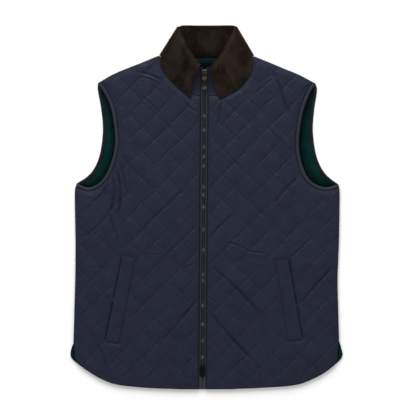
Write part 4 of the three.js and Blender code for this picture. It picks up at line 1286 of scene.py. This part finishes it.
def leaf_grid(sections):
    """The middle of the fall's wall: lip, roll and leaf, with the distance of each row from its free ends"""
    start, end = sections["leaf_start"], sections["leaf_end"]
    stand_start, stand_end = sections["stand_start"], sections["stand_end"]
    stand_way = unit_rows(stand_end - stand_start)
    back = np.column_stack([sections["back"], np.zeros(len(start))])
    centre = (start + stand_start) / 2
    half = (start - stand_start) / 2
    rows, gaps = [], []
    for down in (COLLAR_LIP, COLLAR_LIP - 0.4, COLLAR_LIP / 2):
        rows.append(stand_start + stand_way * down)
        gaps.append(COLLAR_LIP - down)
    for turn in np.linspace(0, math.pi, 11):
        rows.append(centre - half * math.cos(turn) + back * (ROLL_RADIUS * math.sin(turn)))
        gaps.append(COLLAR_LIP + 1)
    sideways = np.column_stack([sections["back"][:, 1], -sections["back"][:, 0], np.zeros(len(start))])
    shares = np.concatenate([np.linspace(0.03, 0.95, 22), [0.975, 0.988, 0.995, 0.9985, 1.0]])
    leaf_length = float(np.linalg.norm(end - start, axis=1).mean())
    for t in shares:
        p = start * (1 - t) + end * t + sideways * (sections["bow"] * math.sin(math.pi * t))[:, None]
        dome = 1.3 * math.sin(math.pi * min(1, t * 1.15)) * (sections["part"] < 1.05)
        sink = dent_depth(p[:, :2]) * (sections["part"] < 1.05) * math.sin(math.pi * min(1, 0.1 + t))
        p = p + np.column_stack([np.zeros((len(p), 2)), dome - sink])
        rows.append(p)
        gaps.append((1 - t) * leaf_length)
    return np.stack(rows, axis=1), rows_of(gaps)


def make_collar_fall():
    sections = whole_collar()
    middle_line = (sections["leaf_start"] + sections["leaf_end"]) / 2
    run = run_along(middle_line)
    length = run[-1]
    places = column_places(length, sizes().wale_pitch * METRE)
    taken = at_run(sections, run, places)
    middle, gaps = leaf_grid(taken)
    end_gap = np.minimum(places, length - places)
    edge = np.minimum(end_gap[:, None], gaps[None, :])
    half = COLLAR_WALL / 2 * np.maximum(edge_round(edge, COLLAR_WALL / 2), 0.02)
    wale = wale_wave(places, length)[:, None] * soft(edge / 1.5)
    relief = sizes().wale_height * METRE * (wale - 0.5)
    roll_gap = gaps[14] - gaps
    # Painted highlight along the roll, and a lighter line along the free edges
    painted_highlight = 0.5 * bell(roll_gap, 5)[None, :] + 0.25 * bell(edge, 1.6)
    dents = dent_depth(middle[..., :2].reshape(-1, 2)).reshape(middle.shape[:2])
    in_front = (taken["part"] < 1.05)[:, None]
    by_roll = (1 - soft((gaps - 6) / 40))[None, :]
    # Lighter towards the side of the leaf and near its roll
    broad_tone = 0.3 * soft((taken["part"][:, None] - 0.45) / 0.5) * in_front * by_roll
    # Painted shade between the ribs and in the dents; the streaks are random tone
    shade = 0.25 * wale + streaks(places, gaps, 81) + painted_highlight + broad_tone - 0.18 * dents * in_front
    points, faces = cloth_wall(middle, half, relief)
    piece = new_piece(
        "collar_fall_corduroy", points, faces, corduroy_cloth(), replaces=["collar_fall"],
        values={"wale": np.concatenate([shade.ravel(), shade.ravel()])},
    )
    return piece


def make_collar_stand():
    sections = whole_collar()
    middle_line = (sections["stand_start"] + sections["stand_end"]) / 2
    run = run_along(middle_line)
    first, last = STAND_SHARE * COLLAR_STEPS, len(run) - 1 - STAND_SHARE * COLLAR_STEPS
    low, high = np.interp([first, last], np.arange(len(run)), run)
    length = high - low
    places = column_places(length, sizes().wale_pitch * METRE)
    taken = at_run(sections, run, places + low)
    start = taken["stand_start"]
    end = taken["stand_end"] + 0.85 * unit_rows(taken["stand_end"] - start)
    reach = np.linalg.norm(end - start, axis=1)
    gaps = []
    rows = []
    shares = np.concatenate([[0, 0.004, 0.012, 0.03], np.linspace(0.07, 0.93, 14), [0.97, 0.988, 0.996, 1]])
    for t in shares:
        down = (COLLAR_LIP + 1.2 * SEAM_GAP) + t * (reach - COLLAR_LIP - 1.2 * SEAM_GAP)
        p = start + (end - start) * (down / reach)[:, None]
        behind = soft((taken["part"] - 2) / 0.3)
        slack = 0.5 * smooth_noise(p[:, 0], p[:, 1], 30, 22, 61) * math.sin(math.pi * t) * behind
        rows.append(p + np.column_stack([np.zeros((len(p), 2)), slack]))
        gaps.append(min(t, 1 - t) * 60)
    middle = np.stack(rows, axis=1)
    end_gap = np.minimum(places, length - places)
    edge = np.minimum(end_gap[:, None], rows_of(gaps)[None, :])
    half = COLLAR_WALL / 2 * np.maximum(edge_round(edge, COLLAR_WALL / 2), 0.02)
    wale = wale_wave(places, length)[:, None] * soft(edge / 1.5)
    relief = sizes().wale_height * METRE * (wale - 0.5)
    # Painted shade: darker where the stand turns behind the leaf's roll at each side, darkest along its lower
    # edge under the fall and a little at its top
    corner = 0.34 * (1 - soft(np.abs(taken["part"] - 2) / 0.5))
    shade = 0.2 * wale + 0.7 * streaks(places, shares * 60, 85) - 0.06 - corner[:, None]
    shade -= 0.34 * soft((shares - 0.7) / 0.3) + 0.2 * (1 - soft(shares / 0.12))
    points, faces = cloth_wall(middle, half, -relief)
    piece = new_piece(
        "collar_stand_corduroy", points, faces, corduroy_cloth(), replaces=["collar_stand"],
        values={"wale": np.concatenate([shade.ravel(), shade.ravel()])},
    )
    return piece


def band_ring(side):
    """Outline of the collar band in flat coordinates: x, and distance up the cloth"""
    sections = collar_sections(side)
    way = unit_rows(sections["stand_end"] - sections["stand_start"])
    away = (sections["stand_start"] + way * (COLLAR_LIP + 2 * SEAM_GAP))[:, :2]
    seam = (sections["stand_end"] + 0.9 * way)[:, :2]
    last = int(round(BAND_SHARE * COLLAR_STEPS))
    curve_end = SLOPE_START + SLOPE_RADIUS * math.sin(SLOPE_ANGLE)
    inner_ys = [SLOPE_START - 0.25, away[0, 1]]
    inner = [[zip_x(y) + SIDES[side] * ZIP_GAP, y] for y in inner_ys]
    ring = np.vstack([inner, away[: last + 1], seam[last::-1]])
    ring[:, 1] = np.where(
        ring[:, 1] > curve_end,
        SLOPE_START + SLOPE_RADIUS * SLOPE_ANGLE + (ring[:, 1] - curve_end) / math.cos(SLOPE_ANGLE),
        ring[:, 1],
    )
    if ring_area(ring) < 0:
        ring = ring[::-1]
    closed = np.vstack([ring, ring[:1]])
    return even_line(closed, 1.6)[:-1]


def make_collar_band(side):
    ring = band_ring(side)
    seed = 71 + SIDES[side]

    def top(x, y, d):
        wrinkle = 0.35 * smooth_noise(x, y, 7, 16, seed) + 0.2 * smooth_noise(x, y, 3.5, 7, seed + 1)
        fold = 0.35 * bell(d - 2.4, 1.2)
        return FRONT_LOW + COLLAR_WALL - 0.25 + wrinkle * soft((d - 1) / 4) + fold

    low = flat_side(FRONT_LOW)
    rim = FRONT_LOW + 1.1
    points, faces = panel_shell(ring, even_grid(ring, 1.6), top, even_grid(ring, 6), low, rim, 1.2)
    # Painted shade on the band, growing towards its top under the collar's leaf
    shaded = 1.15 * soft((points[:, 1] - SLOPE_START) / 42)
    points = along_front(points[:, 0], points[:, 1], points[:, 2])
    node = f"collar_band_{side}"
    piece = new_piece(
        f"{node}_cloth", points, faces, shell_cloth(), replaces=[node],
        values={"painted_shade": shaded},
    )
    return piece


# Bindings


def cut_rail(rail, point, direction, keep):
    """Cuts a line where it crosses another: keep 'after' or 'before' that place"""
    side_of = lambda p: (p[:, 0] - point[0]) * direction[1] - (p[:, 1] - point[1]) * direction[0]
    s = side_of(rail)
    crossing = np.flatnonzero(np.sign(s[:-1]) != np.sign(s[1:]))
    if not len(crossing):
        return rail
    i = crossing[0] if keep == "after" else crossing[-1]
    t = s[i] / (s[i] - s[i + 1])
    place = rail[i] + (rail[i + 1] - rail[i]) * t
    if keep == "after":
        return np.vstack([place, rail[i + 1 :]])
    return np.vstack([rail[: i + 1], place])


def binding_rails(table, side, inward, stations):
    """Lines along an armhole at distances in from its edge, ending on the shoulder and side seams"""
    line = smooth_line([placed(row[side], side) for row in table], 10)
    first = line[0] + unit_rows(line[0] - line[1]) * 14
    last = line[-1] + unit_rows(line[-1] - line[-2]) * 14
    line = even_line(np.vstack([first, line, last]), 1.2)
    tip, next_tip = placed(table[0][side], side), placed(SHOULDER_NEXT[side], side)
    arm, next_arm = placed(table[-1][side], side), placed(SIDE_NEXT[side], side)
    rails = []
    for distance in inward:
        rail = offset_line(line, -SIDES[side] * distance)
        rail = cut_rail(rail, tip, next_tip - tip, "after")
        rail = cut_rail(rail, arm, next_arm - arm, "before")
        run = run_along(rail)
        at = np.linspace(0, run[-1], stations)
        rails.append(np.stack([np.interp(at, run, rail[:, k]) for k in (0, 1)], axis=1))
    return rails


def make_binding(name, table, side, low, top, seed, cloth):
    w = BINDING_WIDTH + 0.45
    outer = [(0.0, 0.5), (0.25, 0.25), (0.9, 0.06), (2.2, 0), (w - 1.6, 0), (w - 0.5, 0.12), (w - 0.05, 0.42)]
    over = [(w - 0.1, 0.66), (w - 0.7, 0.86), (w - 1.9, 0.9), (w - 3.1, 1.0)]
    over += [(2.2, 0.98), (0.9, 0.85), (0.25, 0.68)]
    section = outer + over
    stations = 260
    rails = binding_rails(table, side, [p[0] for p in section], stations)
    run = np.linspace(0, 1, stations)
    length = float(np.linalg.norm(np.diff(rails[0], axis=0), axis=1).sum())
    made = []
    for (inward, level), rail in zip(section, rails):
        pucker = smooth_noise(run * length, np.full(stations, inward * 0.4), 5.0, 1.0, seed)
        wave = smooth_noise(run * length, np.full(stations, inward * 0.2), 19.0, 1.0, seed + 1)
        rounded = math.sin(math.pi * min(1, inward / w + 0.15))
        rise = (0.28 * pucker + 0.3 * wave) * max(0.0, level - 0.4) * rounded
        fade = soft(run / 0.03) * soft((1 - run) / 0.03)
        made.append(np.column_stack([rail, low + (top - low) * level + rise * fade]))
    sewn = made[len(outer) + 2]
    if SIDES[side] > 0:
        made = made[::-1]
    points, faces = lofted(made)
    piece = new_piece(f"{name}_cloth", points, faces, cloth, replaces=[name])
    sewn = even_line(sewn, sizes().stitch_step * METRE)
    middles = (sewn[1:] + sewn[:-1]) / 2
    ways = unit_rows(np.diff(sewn[:, :2], axis=0))
    sew(f"{name}_stitches", middles[:, :2], ways, lambda p: middles[:, 2], slot="binding", lift=0.12)
    return piece


# Zip


def make_tape(side):
    m = SIDES[side]
    s = np.concatenate([np.arange(HEM_Y + 1.4, SLOPE_START, 6.0), np.arange(SLOPE_START, 299, 1.5)])
    inner = np.where(s > BOX_TOP, 3.45, np.where(s > BOX_LOW, 4.95, 0.35))
    under = [(0.0, 4.7), (0.1, 4.35), (0.5, TAPE_LOW), (9.0, TAPE_LOW), (11.4, TAPE_LOW), (11.5, 4.8)]
    upper = [(11.2, TAPE_TOP), (4.9, TAPE_TOP), (4.0, TAPE_TOP), (3.2, TAPE_TOP), (2.5, TAPE_TOP)]
    cord = [(1.7, TAPE_TOP - 0.05), (1.3, TAPE_TOP + 0.25), (0.8, TAPE_TOP + 0.42), (0.25, TAPE_TOP + 0.2)]
    section = under + upper + cord
    rails = []
    for x, z in section:
        rails.append(along_front(zip_x(s) + m * np.minimum(inner + x, TAPE_EDGE), s, np.full(len(s), z)))
    if m > 0:
        rails = rails[::-1]
    points, faces = lofted(rails)
    node = f"zip_tape_{side}"
    # Painted shade on the tape: beneath the fronts' edges, and towards the top beside the slider, between the
    # collar's wings
    out = np.abs(points[:, 0] - zip_x(points[:, 1]))
    shaded = np.maximum(1.7 * soft((out - 5.6) / 1.0), 1.55 * soft((points[:, 1] - 244) / 26))
    piece = new_piece(
        f"{node}_weave", points, faces, tape_cloth(), replaces=[node], values={"painted_shade": shaded}
    )
    return piece


# Places up the chain where teeth get a painted glint
PAINTED_GLINT_TEETH = (194, 164, 128, 107, 88, 43, 26, 0, -47, -91, -143, -156, -209, -249, -283, -319)


def tooth_points(m):
    """One tooth in its own place: x out from the zip's middle, s along it, z up"""
    pitch = sizes().tooth_pitch * METRE
    half = 0.27 * pitch
    inner, outer = -0.55, 3.25
    rings = [
        (4.5, inner + 0.35, outer, half * 0.8),
        (5.0, inner, outer, half),
        (6.5, inner, outer - 0.1, half),
        (7.05, inner + 0.45, outer - 0.6, half * 0.55),
    ]
    points = []
    for z, x0, x1, h in rings:
        points += [(m * x0, -h, z), (m * x1, -h * 0.8, z), (m * x1, h * 0.8, z), (m * x0, h, z)]
    return rows_of(points)


def make_teeth():
    pitch = sizes().tooth_pitch * METRE
    rng = np.random.default_rng(31)
    points, faces, painted_highlight = [], [], []
    for side, shift in (("right", 0.0), ("left", 0.5)):
        m = SIDES[side]
        shape = tooth_points(m)
        for k in range(int((CHAIN_TOP - CHAIN_LOW) / pitch) - 1):
            s = CHAIN_LOW + 1 + (k + shift) * pitch
            tilt = rng.normal(0, 0.03)
            local = shape.copy()
            local[:, 2] += local[:, 0] * tilt * m + rng.normal(0, 0.03)
            local[:, 1] += local[:, 0] * rng.normal(0, 0.02)
            along = s + local[:, 1]
            # A painted glint on teeth near those places
            bright = float(bell(np.abs(rows_of(PAINTED_GLINT_TEETH) - s).min(), 3.5)) * rng.uniform(0.4, 1)
            painted_highlight += [bright] * len(local)
            first = len(points)
            points.extend(along_front(zip_x(along) + local[:, 0], along, local[:, 2]).tolist())
            order = [0, 1, 2, 3] if m > 0 else [3, 2, 1, 0]
            for level in range(3):
                for i in range(4):
                    a, b = order[i], order[(i + 1) % 4]
                    base = first + 4 * level
                    faces.append((base + a, base + b, base + 4 + b, base + 4 + a))
            faces.append(tuple(first + i for i in reversed(order)))
            faces.append(tuple(first + 12 + i for i in order))
    return new_piece(
        "zip_teeth", points, faces, metal_finish("Dark teeth", TOOTH_FINISH),
        replaces=["zip_chain"], smooth=False, values={"painted_highlight": painted_highlight},
    )


# Operators


class VEST_OT_stage(Operator):
    """Add the pale floor, the soft lights and the camera above the vest"""

    bl_idname = "vest.stage"
    bl_label = "Floor, lights and camera"

    def execute(self, context):
        stage = context.scene.vest_stage
        span = 6.0
        below = -0.0001
        mesh = bpy.data.meshes.new("floor")
        corners = [(-span, -span, below), (span, -span, below), (span, span, below), (-span, span, below)]
        mesh.from_pydata(corners, [], [(0, 1, 2, 3)])
        floor = bpy.data.objects.new("floor", mesh)
        context.scene.collection.objects.link(floor)
        material, g, shader = started("Pale floor")
        grain = g.noise(g.place(), 300, 3)
        pale = tuple(colours().floor)
        g.set(shader.inputs["Base Color"], g.mix(grain, scaled(pale, 0.985), pale))
        shader.inputs["Roughness"].default_value = 0.9
        shader.inputs["Specular IOR Level"].default_value = 0.0
        floor.data.materials.append(material)
        world = bpy.data.worlds.new("Soft room")
        world.use_nodes = True
        background = world.node_tree.nodes["Background"]
        background.inputs["Color"].default_value = (1, 1, 1, 1)
        background.inputs["Strength"].default_value = stage.fill
        context.scene.world = world
        light = bpy.data.lights.new("key", "AREA")
        light.energy = stage.key_power
        light.shape = "RECTANGLE"
        light.size = 2.2
        light.size_y = 2.4
        key = bpy.data.objects.new("key", light)
        key.location = (-0.3, 3.0, 2.05)
        key.rotation_mode = "QUATERNION"
        key.rotation_quaternion = (Vector((0, 0, 0)) - key.location).to_track_quat("-Z", "Y")
        context.scene.collection.objects.link(key)
        lens = bpy.data.cameras.new("camera")
        lens.sensor_width = 36
        lens.lens = lens.sensor_width * stage.camera_height / stage.view_width
        camera = bpy.data.objects.new("camera", lens)
        camera.location = (0.0032, -0.0019, stage.camera_height)
        context.scene.collection.objects.link(camera)
        context.scene.camera = camera
        context.scene.view_settings.view_transform = "Standard"
        context.scene.view_settings.look = "None"
        return {"FINISHED"}


class VEST_OT_back(Operator):
    """Add the back panel, with its quilting pressed flat below, and the green lining on it"""

    bl_idname = "vest.back"
    bl_label = "Back and lining"

    def execute(self, context):
        phase = QUILT_PHASE["back"]
        ring = flat_ring("back_panel")

        def under(x, y, d):
            return 0.55 * groove_mask(x, y, phase, BACK_SEED) * soft((d - 4) / 5)

        shares = (0, 0.02, 0.05, 0.1, 0.22, 0.36, 0.5, 0.64, 0.78, 0.9, 0.95, 0.98)
        quilted = lattice(phase, ring, shares)
        points, faces = panel_shell(
            ring, even_grid(ring, 16), flat_side(BACK_TOP), quilted, under, BACK_TOP / 2, 1.4
        )
        # Painted shade along the quilting lines on the back's pressed-flat underside
        painted_shade = np.where(points[:, 2] < 1, groove_mask(points[:, 0], points[:, 1], phase, BACK_SEED), 0)
        back = new_piece(
            "back_quilted", points, faces, shell_cloth(), replaces=["back_panel"],
            values={"painted_shade": painted_shade},
        )
        middles, ways = quilt_stitches(ring, phase, QUILTING_CLEAR)
        sew("back_quilting_stitches", middles, ways, lambda p: np.full(len(p), 0.4), lift=-0.05)

        ring = flat_ring("back_lining")

        def lining_top(x, y, d):
            drape = 0.45 * smooth_noise(x, y, 24, 50, 41) + 0.25 * smooth_noise(x + y, y - x, 12, 26, 42)
            return LINING_TOP - 0.1 + drape * soft((d - 2) / 8)

        middle = (LINING_LOW + LINING_TOP) / 2
        points, faces = panel_shell(
            ring, even_grid(ring, 5), lining_top, even_grid(ring, 25), flat_side(LINING_LOW), middle, 0.8
        )
        # Painted shade on the lining: darkest beside the fronts' edges, which stand over it, and below the
        # collar at the neck
        fronts = [flat_ring(f"front_{side}", 6) for side in SIDES]
        gap = np.minimum(*[distance_to_ring(points[:, :2], front) for front in fronts])
        beyond = np.maximum(gap - BINDING_WIDTH, 0)
        reach = np.where(points[:, 0] > 0, 13.5, 9.5)
        shaded = 1.5 * bell(beyond, reach) * (0.35 + 0.65 * soft((points[:, 1] + 60) / 60))
        neck = (np.abs(points[:, 0]) < 70) & (points[:, 1] > 240)
        shaded = np.where(neck, 0.35 + 1.3 * soft((313 - points[:, 1]) / 9), shaded)
        lining = new_piece(
            "back_lining_cloth", points, faces, lining_cloth(), replaces=["back_lining"],
            values={"painted_shade": shaded},
        )
        return {"FINISHED"}


class VEST_OT_fronts(Operator):
    """Add both quilted fronts with their stitches"""

    bl_idname = "vest.fronts"
    bl_label = "Quilted fronts"

    def execute(self, context):
        for side in SIDES:
            front = Front(side)
            quilted = clear_points(lattice(front.phase, front.ring, QUILT_SHARES), front.ring, PANEL_CLEAR)
            quilted = with_crease_points(quilted, CREASES[side])
            points, faces = panel_shell(
                front.ring, quilted, front.top, even_grid(front.ring, 16), flat_side(FRONT_LOW), 6.9, 2.0
            )
            d = distance_to_ring(points[:, :2], front.ring)
            # Painted shade on each front's upper side
            painted_shade = np.where(points[:, 2] > 6.5, front.painted_shade(points[:, 0], points[:, 1], d), 0)
            node = f"front_{side}"
            piece = new_piece(
                f"{node}_quilted", points, faces, shell_cloth(), replaces=[node],
                values={"painted_shade": painted_shade},
            )
            middles, ways = quilt_stitches(front.ring, front.phase, QUILTING_CLEAR)
            under = inside_ring(middles, front.leaf) | inside_ring(middles, front.welt)
            middles, ways = middles[~under], ways[~under]
            sew(f"{node}_quilting_stitches", middles, ways, front.height_at)
            self.topstitching(front)
        return {"FINISHED"}

    def topstitching(self, front):
        """A row of stitches along the hem and up beside the zip"""
        line = ring_inset(front.ring, TOPSTITCH_INSET)
        kept = distance_to_ring(line, front.ring) > 6
        hem = (line[:, 1] < -290) & kept
        by_zip = (np.abs(line[:, 0] - zip_x(line[:, 1])) < 18) & (line[:, 1] < 228) & kept
        chosen = hem | by_zip
        start = int(np.flatnonzero(~chosen)[0])
        line, chosen = np.roll(line, -start, axis=0), np.roll(chosen, -start)
        middles, ways = [], []
        run = []
        for p, wanted in zip(line, chosen):
            if wanted:
                run.append(p)
            if run and not wanted and len(run) > 3:
                m, w = seam_stitches(rows_of(run))
                middles.append(m)
                ways.append(w)
            if not wanted:
                run = []
        if not middles:
            raise RuntimeError(f"no topstitching was found on the {front.side} front")
        name = f"front_{front.side}_topstitches"
        sew(name, np.vstack(middles), np.vstack(ways), front.height_at, lift=0.2)


class VEST_OT_bindings(Operator):
    """Add the bound edges of the armholes"""

    bl_idname = "vest.bindings"
    bl_label = "Armhole bindings"

    def execute(self, context):
        for side in SIDES:
            seed = 90 + 5 * SIDES[side]
            name = f"armhole_binding_front_{side}"
            make_binding(name, ARMHOLE_FRONT, side, FRONT_LOW, FRONT_SEAM + 0.9, seed, binding_cloth())
            name = f"armhole_binding_back_{side}"
            make_binding(name, ARMHOLE_BACK, side, 0.0, LINING_TOP + 0.4, seed + 2, back_binding_cloth())
        return {"FINISHED"}


class VEST_OT_collar(Operator):
    """Add the corduroy collar: the turned-down leaf, the stand and the bands beside the zip"""

    bl_idname = "vest.collar"
    bl_label = "Collar"

    def execute(self, context):
        make_collar_fall()
        make_collar_stand()
        for side in SIDES:
            make_collar_band(side)
        return {"FINISHED"}


class VEST_OT_welts(Operator):
    """Add the two slanted pocket welts with their edge stitching"""

    bl_idname = "vest.welts"
    bl_label = "Pocket welts"

    def execute(self, context):
        for side in SIDES:
            corners = rows_of([placed(p, side) for p in WELT_CORNERS[side]])
            if ring_area(corners) < 0:
                corners = corners[::-1]
            closed = np.vstack([corners, corners[:1]])
            ring = np.vstack([even_line(closed[i : i + 2], 2.0)[:-1] for i in range(4)])
            seed = 50 + SIDES[side]

            def top(x, y, d):
                seam = 0.3 * bell(d - WELT_STITCH_INSET, 0.8)
                wrinkle = 0.3 * smooth_noise(x, y, 9, 30, seed) + 0.12 * smooth_noise(x, y, 5, 9, seed + 1)
                return WELT_TOP - 0.1 + 0.35 * soft(d / 8) - seam + wrinkle * soft((d - 1) / 5)

            points, faces = panel_shell(
                ring, even_grid(ring, 2.2), top, even_grid(ring, 12), flat_side(WELT_LOW), 9.7, 1.2
            )
            node = f"pocket_welt_{side}"
            piece = new_piece(f"{node}_cloth", points, faces, shell_cloth(), replaces=[node])

            def height(p):
                return top(p[:, 0], p[:, 1], distance_to_ring(p, ring))

            inset = ring_inset(ring, WELT_STITCH_INSET)
            inset = inset[distance_to_ring(inset, ring) > 3.4]
            inset = np.vstack([inset, inset[:1]])
            middles, ways = seam_stitches(inset)
            sew(f"{node}_topstitches", middles, ways, height)
            middles, ways = bar_tacks(side)
            sew(f"{node}_bar_tacks", middles, ways, height, lift=0.3, length=TACK_WIDTH)
        return {"FINISHED"}


class VEST_OT_zip(Operator):
    """Add the zip's tapes and teeth, and finish its slider, pull tab and box"""

    bl_idname = "vest.zip"
    bl_label = "Zip"

    def execute(self, context):
        for side in SIDES:
            make_tape(side)
        make_teeth()
        # The slider and tab get the finish with painted highlights, the box a dark one
        painted_highlight, dark = metal_finish(), metal_finish("Dark box", BOX_FINISH, 0.0)
        for node, width, finish in (
            ("zip_slider", 0.00035, painted_highlight), ("zip_pull_tab", 0.0003, painted_highlight), ("zip_box", 0.0004, dark),
        ):
            metal = NODES[node]
            metal.data.materials.clear()
            metal.data.materials.append(finish)
            rounded = metal.modifiers.new("Rounded edges", "BEVEL")
            rounded.width = width
            rounded.segments = 2
            rounded.limit_method = "ANGLE"
            rounded.angle_limit = math.radians(35)
        return {"FINISHED"}


STEPS = (
    VEST_OT_stage, VEST_OT_back, VEST_OT_bindings, VEST_OT_fronts, VEST_OT_collar, VEST_OT_welts, VEST_OT_zip,
)


class VEST_PT_sidebar(Panel):
    """Lists the steps that build the vest"""

    bl_idname = "VEST_PT_sidebar"
    bl_label = "Quilted vest"
    bl_space_type = "VIEW_3D"
    bl_region_type = "UI"
    bl_category = "Vest"

    def draw(self, context):
        for step in STEPS:
            self.layout.operator(step.bl_idname, text=step.bl_label)


PROPERTIES = {"vest_sizes": VestSizes, "vest_colours": VestColours, "vest_stage": VestStage}


def register():
    for item in (*PROPERTIES.values(), *STEPS, VEST_PT_sidebar):
        bpy.utils.register_class(item)
    for name, kind in PROPERTIES.items():
        setattr(bpy.types.Scene, name, PointerProperty(type=kind))


def unregister():
    for name in PROPERTIES:
        delattr(bpy.types.Scene, name)
    for item in reversed((*PROPERTIES.values(), *STEPS, VEST_PT_sidebar)):
        bpy.utils.unregister_class(item)


def main():
    register()
    for step in STEPS:
        area, name = step.bl_idname.split(".")
        getattr(getattr(bpy.ops, area), name)()


if __name__ == "__main__":
    main()
